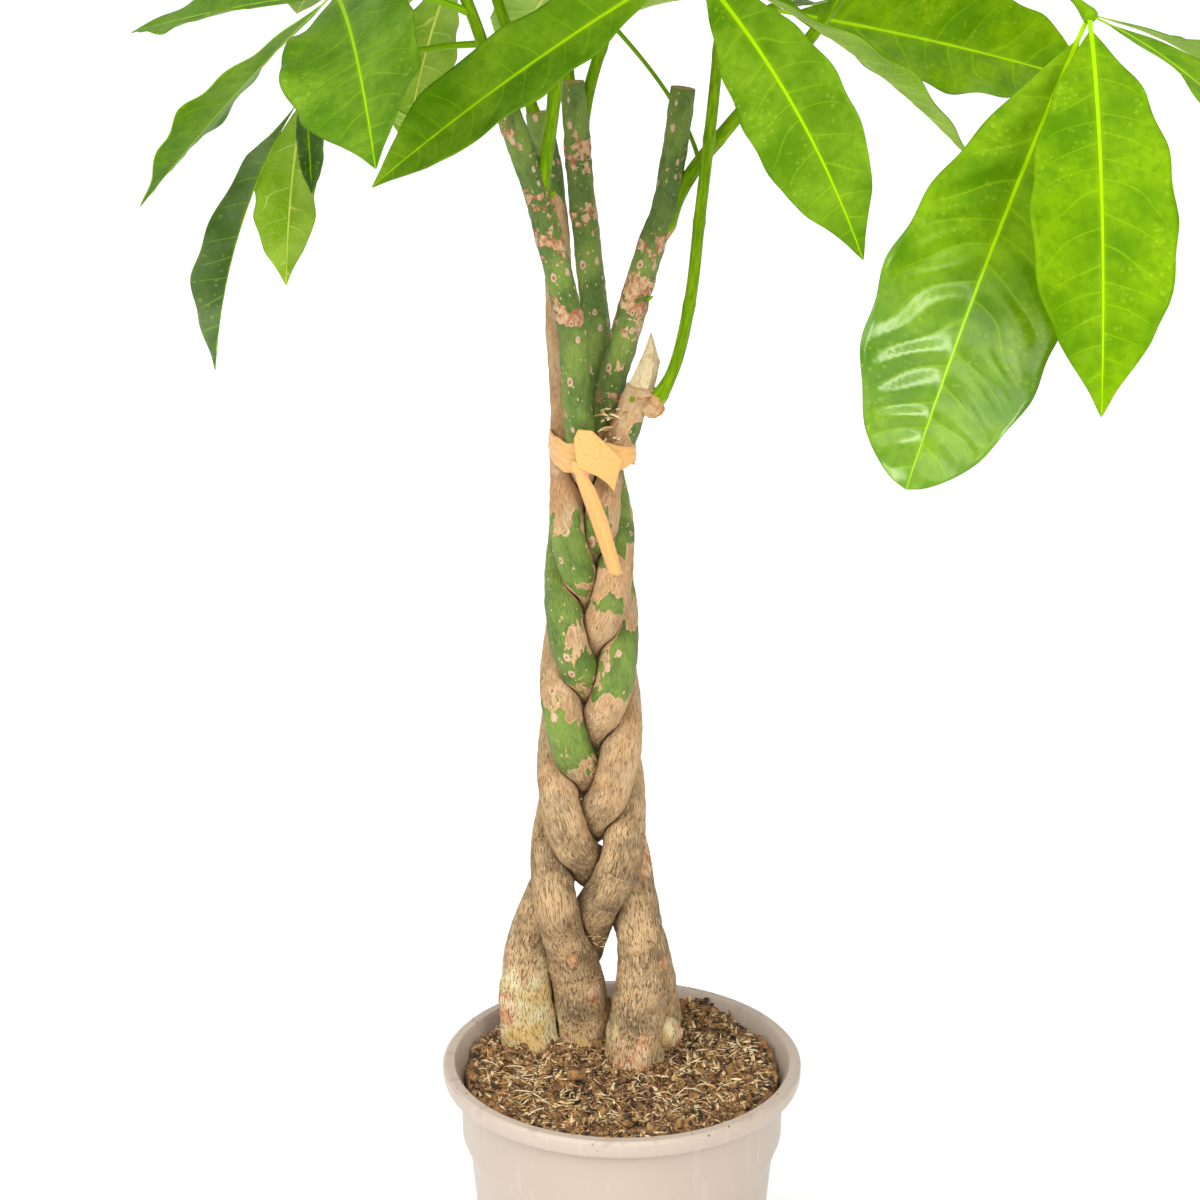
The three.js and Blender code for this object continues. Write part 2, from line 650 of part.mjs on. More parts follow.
// A leaf further up a shoot: its heading follows the golden angle, and it stands steeper and is
// smaller towards the tip. Each new try turns it a little to either side.
function highLeaf(order, rank, attempt) {
  const { leaves, turn } = SHOOTS[order];
  const age = rank / (leaves - 1);
  const seed = 31 * order + 7 * rank;
  const swing = Math.ceil(attempt / 2) * (attempt % 2 ? 9 : -9);
  const outward = (turn + GOLDEN_ANGLE * rank + swing) * RADIANS;
  const lift = (24 + 40 * age + 12 * (attempt % 4)) * RADIANS;
  const reach = between(125, 190, seed + 1) * (1 - 0.25 * age) * (attempt % 3 ? 1 : 1.2);
  const root = shootPoint(order, 0.6 + 0.37 * age);
  return {
    order,
    root,
    hub: root.clone().addScaledVector(heading(outward, lift), reach),
    leaflets: fanOf(draw(seed + 2) < 0.5 ? 5 : 6, outward, {
      pitch: (4 + 10 * age) * RADIANS,
      tilt: 16 * RADIANS,
      droop: (38 - 10 * age) * RADIANS,
      length: between(175, 215, seed + 3) * (1 - 0.2 * age),
      seed,
    }),
  };
}

// ---------------------------------------------------------------- assembly

const plant = new THREE.Group();
const pieces = [];

function addPiece(name, solid, surface) {
  const mesh = meshOf(name, solid, surface);
  mesh.geometry.computeBoundingBox();
  pieces.push({ name, solid, box: mesh.geometry.boundingBox });
  plant.add(mesh);
}

function crosses(solid, exceptName) {
  const { min, max } = solid.boundingBox();
  const box = new THREE.Box3(vector(...min), vector(...max));
  return pieces.some((piece) => piece.name !== exceptName && box.intersectsBox(piece.box)
    && !solid.intersect(piece.solid).isEmpty());
}

function leafIsClear(leaf) {
  const { stalk, fan } = leafParts(leaf, LEAF_CLEARANCE / 2);
  const lowest = fan.boundingBox().min[2];
  return lowest > CROWN_BOTTOM && !crosses(stalk, SHOOTS[leaf.order].name) && !crosses(fan, '');
}

function addLeaf(leaf) {
  const { stalk, fan } = leafParts(leaf, 0);
  leafCount += 1;
  const name = `leaf_${String(leafCount).padStart(2, '0')}`;
  addPiece(name, stalk.add(fan).subtract(shootSolid(leaf.order, TOUCH)), leafGreen);
}

trunkSolids[brokenTop] = brokenTopSolid();
trunkSolids[rightTrunk] = trunkSolids[rightTrunk].add(lump(ROOT_LUMP.centre, ROOT_LUMP.radius, 8, 5));
addPiece('pot', potSolid(), plastic);
addPiece('soil', grownTrunks.reduce((soil, trunk) => soil.subtract(trunk), soilSolid()), earth);
TRUNKS.forEach((trunk, order) => addPiece(trunk.name, trunkSolids[order], bark));
addPiece('tie', tieSolid(), ribbon);
SHOOTS.forEach((shoot, order) => {
  const grown = [...grownTrunks, lump(KNOB.centre, KNOB.radius + TOUCH, 8, 5)];
  addPiece(shoot.name, grown.reduce((solid, wood) => solid.subtract(wood), shootSolid(order, 0)), shootGreen);
});

let leafCount = 0;
LOW_LEAVES.forEach((low) => addLeaf(lowLeaf(low)));
SHOOTS.forEach((shoot, order) => {
  for (let rank = 0; rank < shoot.leaves; rank += 1) {
    const tries = Array.from({ length: LEAF_TRIES }, (unused, attempt) => highLeaf(order, rank, attempt));
    const leaf = tries.find(leafIsClear);
    if (leaf) addLeaf(leaf);
  }
});

export default plant;
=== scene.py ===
import math

import bpy
import numpy as np
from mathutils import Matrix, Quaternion, Vector, noise


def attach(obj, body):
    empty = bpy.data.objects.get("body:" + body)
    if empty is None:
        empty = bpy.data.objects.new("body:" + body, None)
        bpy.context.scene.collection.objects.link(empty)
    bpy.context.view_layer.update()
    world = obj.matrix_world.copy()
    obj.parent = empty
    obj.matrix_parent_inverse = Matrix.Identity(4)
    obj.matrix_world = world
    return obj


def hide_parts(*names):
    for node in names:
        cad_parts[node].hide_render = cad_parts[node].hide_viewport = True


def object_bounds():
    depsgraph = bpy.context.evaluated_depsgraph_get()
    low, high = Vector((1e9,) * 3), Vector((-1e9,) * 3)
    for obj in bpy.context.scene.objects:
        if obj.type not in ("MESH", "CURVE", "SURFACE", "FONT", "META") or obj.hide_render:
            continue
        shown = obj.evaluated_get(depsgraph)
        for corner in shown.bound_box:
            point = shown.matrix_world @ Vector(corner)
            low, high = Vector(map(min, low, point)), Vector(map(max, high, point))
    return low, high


# The looks of a potted money tree. Lengths in this file's tables and shapes are in millimetres, and
# MM makes them metres. The patterns of the materials are laid out in metres. The origin is the
# centre of the pot's underside, and the front faces -Y.

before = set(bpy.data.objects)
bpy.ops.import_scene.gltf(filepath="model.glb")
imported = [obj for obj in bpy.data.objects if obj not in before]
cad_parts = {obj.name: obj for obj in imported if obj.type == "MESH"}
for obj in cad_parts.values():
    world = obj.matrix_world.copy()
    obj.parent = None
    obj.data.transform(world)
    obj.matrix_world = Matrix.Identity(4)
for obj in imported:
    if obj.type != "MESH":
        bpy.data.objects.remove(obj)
CAD_BOX = [list(corner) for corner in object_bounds()]

MM = 0.001                             # metres in a millimetre
ANY_TURN = 6.3                         # a full turn and a little more, in radians

# ---------------------------------------------------------------- sizes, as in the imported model

POT_HEIGHT = 220
POT_RIM_RADIUS = 120
POT_LIP_HEIGHT = 11
POT_LIP_WIDTH = 9
POT_BAND_RADIUS = 108.5
POT_BAND_BOTTOM = 168
POT_SHOULDER_DROP = 15
POT_WALL_TOP_RADIUS = 102
POT_FOOT_RADIUS = 88
POT_WALL = 2.5
POT_FLOOR = 4
POT_TURN_STEPS = 160
DRAIN_COUNT = 6
DRAIN_RADIUS = 6
DRAIN_CIRCLE = 47

SOIL_LEVEL = 215
SOIL_RADIUS = 105
SOIL_RINGS = 84
SOIL_SPOKES = 330
SOIL_HEAP = (62, 84)                   # x and y of the heap at the back right
SOIL_BODY = [(104.4, 190), (103.8, 168), (98, 152), (84.6, 8)]     # radius and height, downwards
CLOD_COUNT = 620
FIBRE_COUNT = 2600
CRUMB_COUNT = 12000
STRAW_COUNT = 260
SPLINTER_COUNT = 34
ROOT_HAIR_COUNT = 12
STRAW_CLUMPS = [(74, 16, 24), (-43, -58, 20), (40, -60, 22), (-66, -22, 16)]     # x, y and reach

BRAID_AXIS = (-21, 20)
BRAID_TURN = 310
BRAID_FIRST_CROSSING = 322
BRAID_FLATNESS = 1.9
BRAID_STEP = 14
BRAID_BOTTOM = 335
BRAID_TOP = 600
BRAID_SWING = [[60, 34], [100, 31], [135, 26.5], [170, 23.5], [240, 21], [400, 15.5]]
TRUNK_RADIUS = [[-45, 20], [0, 20.5], [50, 17.5], [100, 14.8], [200, 13.2], [300, 12.2],
                [385, 10.8], [440, 9.2], [520, 8.6], [640, 7.6]]
TRUNK_SIDES = 48
TRUNK_RING_STEP = 2.1
PRESS_GAP = 0.9                        # left between trunks that grow against each other
PRESS_TRIES = 9                        # each try halves what is unsure about a trunk's reach
STUDIO_LIGHT = 1.5                     # how bright a white sheet looks in this studio
LEAF_GLOSS = (0.85, 1.0, 0.12, 1)       # living green skin reflects yellow-green
GRAIN_RADIUS = 13                      # bark patterns are laid out on a trunk of this radius

BREAK_HEIGHT = 679                     # where the bark of the broken trunk ends

# Foot and top of each trunk, and how green it is against height, from bare cork 0 to all green 1.
TRUNKS = {
    "trunk_back_left": {
        "foot": [[-60, 28, 170], [-61, 28, 215], [-65, 30, 248], [-60, 36, 292]],
        "top": [[-37, 35, 655], [-40, 40, 702], [-41, 42, 747], [-45, 44, 797], [-53, 46, 844]],
        "green": [[400, 0.04], [500, 0.1], [528, 0.5], [590, 0.66], [602, 0.1], [640, 0.04],
                  [770, 0.08], [800, 0.8]],
    },
    "trunk_broken_top": {
        "foot": [[-40, 70, 170], [-40, 68, 215], [-36, 58, 255], [-25, 36, 294]],
        "top": [[0, 3, 650], [7, 4, 671], [12, 4, 682], [15, 4, 696]],
        "green": [[390, 0.05], [470, 0.14], [484, 0.7], [570, 0.78], [590, 0.5], [630, 0.3],
                  [680, 0.12]],
    },
    "trunk_right": {
        "foot": [[8, 6, 170], [8, 5, 215], [11, 3, 252], [13.5, 3, 294]],
        "top": [[-9, 22, 655], [-7, 18, 681], [0, 15, 707], [9.5, 15, 742], [17.5, 15, 767],
                [27, 15, 799], [35.5, 15, 863]],
        "green": [[400, 0.06], [420, 0.25], [430, 0.72], [464, 0.75], [473, 0.3], [480, 0.5],
                  [490, 0.5], [497, 0.1], [509, 0.15], [520, 0.7], [545, 0.7], [575, 0.4],
                  [640, 0.38], [680, 0.72], [740, 0.6], [780, 0.86]],
    },
    "trunk_middle": {
        "foot": [[24, 54, 170], [22, 54, 215], [18, 52, 255], [11, 47, 295]],
        "top": [[-16, 38, 655], [-17, 37, 709], [-20, 36, 738], [-26, 36, 796], [-32, 36, 864]],
        "green": [[390, 0.05], [505, 0.1], [525, 0.2], [532, 0.62], [547, 0.62], [555, 0.12],
                  [567, 0.15], [575, 0.66], [650, 0.7], [700, 0.84], [860, 0.78]],
    },
    "trunk_front_left": {
        "foot": [[-25, 36, 170], [-26, 34, 215], [-30, 24, 267], [-40, 8, 313]],
        "top": [[-28, 1, 655], [-31.5, 0, 710], [-40, 0, 751], [-53, 0, 801], [-69, 0, 846],
                [-78, -2, 873]],
        "green": [[380, 0.04], [474, 0.12], [484, 0.62], [535, 0.7], [560, 0.5], [590, 0.15],
                  [632, 0.1], [646, 0.7], [700, 0.82], [873, 0.7]],
    },
}

# ---------------------------------------------------------------- repeatable draws and curves


def draw(number):
    """A repeatable draw between 0 and 1."""
    value = math.sin(number * 12.9898) * 43758.5453
    return value - math.floor(value)


def between(low, high, number):
    return low + (high - low) * draw(number)


def read_table(table, place):
    places, values = zip(*table)
    return float(np.interp(place, places, values))


def heading(azimuth, pitch):
    level = math.cos(pitch)
    return Vector((level * math.cos(azimuth), level * math.sin(azimuth), math.sin(pitch)))


def curve_point(points, place):
    """A centripetal Catmull-Rom curve through points, read at a place from 0 to 1."""
    last = len(points) - 1
    index = min(int(place * last), last - 1)
    share = place * last - index
    before = points[index - 1] if index > 0 else points[0] * 2 - points[1]
    start, end = points[index], points[index + 1]
    after = points[index + 2] if index + 2 <= last else points[last] * 2 - points[last - 1]
    steps = [math.sqrt((b - a).length) for a, b in ((before, start), (start, end), (end, after))]
    leave = ((start - before) / steps[0] - (end - before) / (steps[0] + steps[1])
             + (end - start) / steps[1])
    reach = ((end - start) / steps[1] - (after - start) / (steps[1] + steps[2])
             + (after - end) / steps[2])
    leave, reach = leave * steps[1], reach * steps[1]
    square, cube = share * share, share ** 3
    return (start + leave * share + (end * 3 - start * 3 - leave * 2 - reach) * square
            + (start * 2 - end * 2 + leave + reach) * cube)


def curve_through(points, spaces):
    """Points at even distances along the curve through the given ones."""
    points = [Vector(point) for point in points]
    fine = [curve_point(points, step / 200) for step in range(201)]
    lengths = np.cumsum([0] + [(b - a).length for a, b in zip(fine, fine[1:])])
    places = np.interp(np.linspace(0, lengths[-1], spaces + 1), lengths, np.linspace(0, 1, 201))
    return [curve_point(points, min(place, 1)) for place in places]


def frames_along(points):
    """Directions along, across and up at each point, carried along without twist."""
    frames = []
    across = Vector((1, 0, 0))
    for index in range(len(points)):
        along = (points[min(index + 1, len(points) - 1)] - points[max(index - 1, 0)]).normalized()
        if index == 0 and abs(along.x) > 0.8:
            across = Vector((0, 1, 0))
        across = (across - along * across.dot(along)).normalized()
        frames.append((along, across, along.cross(across)))
    return frames


# ---------------------------------------------------------------- meshes


def pick_only(piece):
    bpy.ops.object.select_all(action="DESELECT")
    piece.select_set(True)
    bpy.context.view_layer.objects.active = piece


def new_piece(name, places, faces):
    """A smooth mesh from places in millimetres."""
    mesh = bpy.data.meshes.new(name)
    mesh.from_pydata([tuple(c * MM for c in place) for place in places], [], faces)
    mesh.polygons.foreach_set("use_smooth", [True] * len(mesh.polygons))
    piece = bpy.data.objects.new(name, mesh)
    bpy.context.scene.collection.objects.link(piece)
    return piece


def set_values(piece, name, values):
    """Keeps one number for each vertex, for the materials to read."""
    layer = piece.data.attributes.new(name, "FLOAT", "POINT")
    layer.data.foreach_set("value", np.asarray(values, np.float32).ravel())


def set_vectors(piece, name, values):
    layer = piece.data.attributes.new(name, "FLOAT_VECTOR", "POINT")
    layer.data.foreach_set("vector", np.asarray(values, np.float32).ravel())


def apply_all(piece):
    pick_only(piece)
    for modifier in list(piece.modifiers):
        bpy.ops.object.modifier_apply(modifier=modifier.name)


def thicken(sheet, thickness, under=0):
    """Gives a sheet a wall; under says how many materials further on its underside's is."""
    wall = sheet.modifiers.new("thicken", "SOLIDIFY")
    wall.thickness = thickness * MM
    wall.offset = 0
    wall.material_offset = under
    apply_all(sheet)


def face_outwards(piece):
    pick_only(piece)
    bpy.ops.object.mode_set(mode="EDIT")
    bpy.ops.mesh.select_all(action="SELECT")
    bpy.ops.mesh.normals_make_consistent(inside=False)
    bpy.ops.object.mode_set(mode="OBJECT")


def join_all(name, parts):
    """Joins parts into one piece with one mesh."""
    pick_only(parts[0])
    for part in parts[1:]:
        part.select_set(True)
    if len(parts) > 1:
        bpy.ops.object.join()
    parts[0].name = name
    parts[0].data.name = name
    return parts[0]


def settle(piece, slot, *nodes):
    """The piece rides on the plant's one body and stands for the named nodes."""
    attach(piece, "root")
    if nodes:
        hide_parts(*nodes)


def tube_faces(rings, sides):
    """Faces of a closed tube whose places lie ring by ring."""
    faces = []
    for ring in range(rings - 1):
        for side in range(sides):
            a, b = ring * sides + side, ring * sides + (side + 1) % sides
            faces.append((a, a + sides, b + sides, b))
    last = (rings - 1) * sides
    return faces + [tuple(range(sides)), tuple(range(last + sides - 1, last - 1, -1))]


def tube_mesh(points, sides, radius_at):
    """Places and faces of a closed tube round points; radius_at(index, turn) gives its reach."""
    places = []
    for index, (point, (_, across, up)) in enumerate(zip(points, frames_along(points))):
        for side in range(sides):
            turn = 2 * math.pi * side / sides
            reach = radius_at(index, turn)
            places.append(point + across * (math.sin(turn) * reach) + up * (math.cos(turn) * reach))
    return places, tube_faces(len(points), sides)


# ---------------------------------------------------------------- shader building


def feed(tree, socket, value):
    if isinstance(value, bpy.types.NodeSocket):
        tree.links.new(value, socket)
    else:
        socket.default_value = value


def put(tree, kind, values=None, **settings):
    """Adds a shader node. A value is a constant, or a socket to link from."""
    item = tree.nodes.new(kind)
    for key, value in settings.items():
        setattr(item, key, value)
    for name, value in (values or {}).items():
        feed(tree, item.inputs[name], value)
    return item


def colour(red, green, blue):
    """The paint that looks like this screen colour, from 0 to 255, in the studio's light."""
    def linear(value):
        share = value / 255
        return (share / 12.92 if share <= 0.04045 else ((share + 0.055) / 1.055) ** 2.4) / STUDIO_LIGHT
    return (linear(red), linear(green), linear(blue), 1)


def mixed(tree, share, first, second):
    item = put(tree, "ShaderNodeMix", {0: share}, data_type="RGBA")
    feed(tree, item.inputs[6], first)
    feed(tree, item.inputs[7], second)
    return item.outputs[2]


def maths(tree, operation, first, second=0.0, third=0.0):
    values = {0: first, 1: second, 2: third}
    return put(tree, "ShaderNodeMath", values, operation=operation).outputs[0]


def times(tree, first, second):
    return maths(tree, "MULTIPLY", first, second)


def times_plus(tree, first, second, added):
    return maths(tree, "MULTIPLY_ADD", first, second, added)


def rise(tree, value, low, high, bottom=0.0, top=1.0):
    """A smooth step from bottom to top while the value goes from low to high."""
    values = {"Value": value, "From Min": low, "From Max": high, "To Min": bottom, "To Max": top}
    return put(tree, "ShaderNodeMapRange", values, interpolation_type="SMOOTHSTEP").outputs[0]


def scaled(tree, vector, x, y, z):
    return put(tree, "ShaderNodeMapping", {"Vector": vector, "Scale": (x, y, z)}).outputs[0]


def cloud(tree, vector, scale, detail=3.0, roughness=0.55, distortion=0.0):
    values = {"Vector": vector, "Scale": scale, "Detail": detail, "Roughness": roughness,
              "Distortion": distortion}
    return put(tree, "ShaderNodeTexNoise", values).outputs[0]


def cells(tree, vector, scale, feature="F1"):
    values = {"Vector": vector, "Scale": scale}
    return put(tree, "ShaderNodeTexVoronoi", values, feature=feature)


def stored(tree, name, output="Fac"):
    return put(tree, "ShaderNodeAttribute", attribute_name=name).outputs[output]


def object_place(tree):
    return put(tree, "ShaderNodeTexCoord").outputs["Object"]


def relief(tree, height, distance, strength=1.0):
    values = {"Height": height, "Distance": distance, "Strength": strength}
    return put(tree, "ShaderNodeBump", values).outputs[0]


def new_group(name, inputs, outputs):
    """An empty shader node group with named sockets, and its input and output nodes."""
    tree = bpy.data.node_groups.new(name, "ShaderNodeTree")
    for label, kind, value in inputs:
        socket = tree.interface.new_socket(label, in_out="INPUT", socket_type=kind)
        if value is not None:
            socket.default_value = value
    for label in outputs:
        tree.interface.new_socket(label, in_out="OUTPUT", socket_type="NodeSocketFloat")
    return tree, tree.nodes.new("NodeGroupInput").outputs, tree.nodes.new("NodeGroupOutput").inputs


def placed_group(tree, group, values):
    item = tree.nodes.new("ShaderNodeGroup")
    item.node_tree = group
    for name, value in values.items():
        feed(tree, item.inputs[name], value)
    return item.outputs


def make_patch_group():
    """Ragged patches that cover a share of the surface, as flaking bark or dirt does."""
    inputs = [("Vector", "NodeSocketVector", None), ("Scale", "NodeSocketFloat", 40.0),
              ("Cover", "NodeSocketFloat", 0.5), ("Edge", "NodeSocketFloat", 0.02)]
    tree, given, results = new_group("Ragged patches", inputs, ["Mask"])
    broad = cloud(tree, given["Vector"], given["Scale"], 5.0, 0.6, 0.4)
    level = times_plus(tree, given["Cover"], -0.56, 0.78)
    upper = maths(tree, "ADD", level, given["Edge"])
    feed(tree, results["Mask"], rise(tree, broad, level, upper))
    return tree


def make_fibre_group():
    """Fine lines that run along the third axis of the given vector."""
    inputs = [("Vector", "NodeSocketVector", None), ("Fineness", "NodeSocketFloat", 500.0)]
    tree, given, results = new_group("Lengthwise fibres", inputs, ["Lines", "Cracks"])
    drawn_out = scaled(tree, given["Vector"], 1, 1, 0.17)
    lines = cloud(tree, drawn_out, given["Fineness"], 4.0, 0.65)
    feed(tree, results["Lines"], rise(tree, lines, 0.32, 0.68))
    coarser = times(tree, given["Fineness"], 0.8)
    dashes = cloud(tree, drawn_out, coarser, 3.0, 0.6, 0.3)
    feed(tree, results["Cracks"], rise(tree, dashes, 0.54, 0.62))
    return tree


def make_spot_group():
    """Round spots with a darker middle, one in some of the cells of a loose net."""
    inputs = [("Vector", "NodeSocketVector", None), ("Scale", "NodeSocketFloat", 60.0),
              ("Size", "NodeSocketFloat", 0.2), ("Share", "NodeSocketFloat", 0.4)]
    tree, given, results = new_group("Round spots", inputs, ["Spot", "Middle"])
    ragged = cloud(tree, given["Vector"], times(tree, given["Scale"], 5.0), 2.0)
    net = cells(tree, given["Vector"], given["Scale"])
    away = times_plus(tree, maths(tree, "SUBTRACT", ragged, 0.5), 0.14, net.outputs["Distance"])
    chosen = put(tree, "ShaderNodeSeparateColor", {0: net.outputs["Color"]}).outputs[0]
    present = maths(tree, "LESS_THAN", chosen, given["Share"])
    size = times(tree, given["Size"], maths(tree, "ADD", chosen, 0.75))
    spot = rise(tree, away, times(tree, size, 0.8), size, 1.0, 0.0)
    middle = rise(tree, away, times(tree, size, 0.25), times(tree, size, 0.5), 1.0, 0.0)
    feed(tree, results["Spot"], times(tree, spot, present))
    feed(tree, results["Middle"], times(tree, middle, present))
    return tree


def make_vein_group():
    """Midrib, side veins, the pillows of blade between them, and a fine net.

    Blade holds the distance along the midrib and across it, in metres, and the share to the margin.
    Count grows by one from each side vein to the next.
    """
    inputs = [("Blade", "NodeSocketVector", None), ("Rib", "NodeSocketFloat", 0.0),
              ("Count", "NodeSocketFloat", 0.0)]
    outputs = ["Midrib", "Glow", "Veins", "Pillow", "Net"]
    tree, given, results = new_group("Leaflet veins", inputs, outputs)
    parts = put(tree, "ShaderNodeSeparateXYZ", {0: given["Blade"]}).outputs
    other_side = times(tree, maths(tree, "GREATER_THAN", parts[1], 0.0), SIDE_SHIFT)
    cell = maths(tree, "FRACT", maths(tree, "ADD", given["Count"], other_side))
    near = maths(tree, "ABSOLUTE", maths(tree, "SUBTRACT", cell, 0.5))
    width = times_plus(tree, parts[2], -0.04, 0.065)
    fading = rise(tree, parts[2], 0.75, 0.95, 1.0, 0.0)
    feed(tree, results["Midrib"], rise(tree, given["Rib"], 0.7, 1.1, 1.0, 0.0))
    feed(tree, results["Glow"], rise(tree, given["Rib"], 0.6, 3.4, 1.0, 0.0))
    feed(tree, results["Veins"], times(tree, rise(tree, near, 0.0, width, 1.0, 0.0), fading))
    feed(tree, results["Pillow"], rise(tree, near, 0.0, 0.4))
    flat = scaled(tree, given["Blade"], 1, 1, 0)
    net = cells(tree, flat, 300.0, "DISTANCE_TO_EDGE").outputs["Distance"]
    feed(tree, results["Net"], rise(tree, net, 0.0, 0.08, 1.0, 0.0))
    return tree


SIDE_SHIFT = 0.45                      # the veins on the two sides of a midrib alternate

PATCHES = make_patch_group()
FIBRES = make_fibre_group()
SPOTS = make_spot_group()
VEINS = make_vein_group()


def patches(tree, vector, scale, cover, edge):
    values = {"Vector": vector, "Scale": scale, "Cover": cover, "Edge": edge}
    return placed_group(tree, PATCHES, values)["Mask"]


def round_spots(tree, vector, scale, size, share):
    return placed_group(tree, SPOTS, {"Vector": vector, "Scale": scale, "Size": size, "Share": share})


def fibre_lines(tree, vector, fineness):
    return placed_group(tree, FIBRES, {"Vector": vector, "Fineness": fineness})


def blade_veins(tree, blade):
    values = {"Blade": blade, "Rib": stored(tree, "rib"), "Count": stored(tree, "vein")}
    return placed_group(tree, VEINS, values)


def painted(tree, tone, mask, strength, red, green, blue):
    """Puts a paint over the tone where the mask shows, at a strength from 0 to 1."""
    return mixed(tree, times(tree, mask, strength), tone, colour(red, green, blue))


def new_material(name):
    material = bpy.data.materials.new(name)
    material.use_nodes = True
    tree = material.node_tree
    return material, tree, tree.nodes["Principled BSDF"].inputs


# ---------------------------------------------------------------- materials


def pot_material():
    """Taupe plastic with a satin skin, soil dust on the lip and fine scratches."""
    material, tree, shader = new_material("taupe_plastic")
    place = object_place(tree)
    height = put(tree, "ShaderNodeSeparateXYZ", {0: place}).outputs[2]
    tone = mixed(tree, cloud(tree, place, 9.0), colour(198, 179, 162), colour(212, 194, 177))
    streaks = cloud(tree, scaled(tree, place, 1, 1, 0.12), 160.0, 2.0)
    tone = painted(tree, tone, rise(tree, streaks, 0.55, 0.8), 0.25, 236, 222, 208)
    lip = rise(tree, height, 0.2085, 0.2205)
    cover = times_plus(tree, lip, 0.42, 0.02)
    dust = patches(tree, place, 70.0, cover, 0.2)
    tone = painted(tree, tone, dust, 0.42, 166, 142, 118)
    grains = round_spots(tree, place, 300.0, 0.24, 0.45)["Spot"]
    gritty = rise(tree, cloud(tree, place, 38.0), 0.46, 0.6)
    on_lip = times(tree, times(tree, grains, lip), gritty)
    tone = painted(tree, tone, on_lip, 0.85, 84, 62, 44)
    feed(tree, shader["Base Color"], tone)
    feed(tree, shader["Roughness"], rise(tree, dust, 0.0, 1.0, 0.36, 0.62))
    shader["Specular IOR Level"].default_value = 0.45
    skin = cloud(tree, place, 900.0, 2.0)
    feed(tree, shader["Normal"], relief(tree, skin, 0.00006, 0.5))
    return material


def soil_material():
    """Damp brown potting mix: dark crumbs, golden fibres, pale flecks and painted shade for its
    hollows.
    """
    material, tree, shader = new_material("potting_soil")
    place = object_place(tree)
    tone = mixed(tree, rise(tree, cloud(tree, place, 150.0, 6.0, 0.75), 0.36, 0.64), colour(44, 28, 14),
                 colour(190, 138, 82))
    reddish = patches(tree, place, 48.0, 0.4, 0.2)
    tone = painted(tree, tone, reddish, 0.5, 184, 118, 60)
    threads = cloud(tree, place, 420.0, 3.0, 0.6, 2.4)
    aside = maths(tree, "ABSOLUTE", maths(tree, "SUBTRACT", threads, 0.5))
    straw = rise(tree, aside, 0.0, 0.02, 1.0, 0.0)
    straw = times(tree, straw, rise(tree, cloud(tree, place, 90.0), 0.48, 0.62))
    tone = painted(tree, tone, straw, 0.8, 246, 200, 128)
    # Painted shade: near-black patches, laid by noise, stand for the shade in the soil's hollows.
    hollow_shade = rise(tree, cloud(tree, place, 75.0, 5.0, 0.65), 0.38, 0.46, 0.9, 0.0)
    tone = mixed(tree, hollow_shade, tone, colour(44, 28, 14))
    feed(tree, shader["Base Color"], tone)
    shader["Roughness"].default_value = 0.92
    feed(tree, shader["Normal"], relief(tree, cloud(tree, place, 520.0, 5.0, 0.7), 0.0009))
    return material


def drawn_shade_material(name, dark, middle, pale):
    """Many small pieces of one kind, whose shade is drawn for each one."""
    material, tree, shader = new_material(name)
    tone = put(tree, "ShaderNodeValToRGB", {0: stored(tree, "shade")})
    stops = tone.color_ramp.elements
    stops[0].color = colour(*dark)
    stops[1].color = colour(*pale)
    stops.new(0.5).color = colour(*middle)
    feed(tree, shader["Base Color"], tone.outputs[0])
    shader["Roughness"].default_value = 0.85
    feed(tree, shader["Normal"], relief(tree, cloud(tree, object_place(tree), 900.0), 0.0002))
    return material


def cork_tone(tree, grain, fibres):
    """Tan cork of the younger bark, going over to grey-brown old bark low on the trunks."""
    old = stored(tree, "old")
    tone = mixed(tree, rise(tree, cloud(tree, grain, 60.0, 4.0), 0.35, 0.65), colour(242, 184, 128),
                 colour(255, 218, 168))
    tone = painted(tree, tone, fibres["Lines"], 0.35, 198, 148, 100)
    pale = patches(tree, grain, 52.0, 0.36, 0.14)
    tone = painted(tree, tone, pale, 0.65, 255, 226, 178)
    weathered = mixed(tree, rise(tree, cloud(tree, grain, 34.0, 5.0, 0.65), 0.36, 0.62),
                      colour(128, 108, 78), colour(226, 188, 138))
    greyed = times(tree, old, rise(tree, cloud(tree, grain, 24.0, 4.0, 0.6), 0.3, 0.55, 0.35, 0.95))
    tone = mixed(tree, greyed, tone, weathered)
    squeezed = scaled(tree, grain, 0.12, 0.12, 1)
    bands = rise(tree, cloud(tree, squeezed, 46.0, 4.0, 0.6), 0.56, 0.68)
    tone = mixed(tree, times(tree, bands, times(tree, old, 0.6)), tone, colour(110, 98, 72))
    seams = rise(tree, cloud(tree, squeezed, 170.0, 3.0, 0.6), 0.66, 0.7)
    tone = mixed(tree, times(tree, seams, times(tree, old, 0.7)), tone, colour(216, 170, 120))
    cracks = times(tree, fibres["Cracks"], times_plus(tree, old, 0.58, 0.18))
    tone = mixed(tree, cracks, tone, colour(96, 74, 48))
    flecks = rise(tree, cloud(tree, scaled(tree, grain, 1, 1, 0.25), 760.0, 3.0), 0.58, 0.64)
    tone = mixed(tree, times(tree, flecks, times_plus(tree, old, 0.55, 0.12)), tone,
                 colour(244, 212, 160))
    return tone, cracks


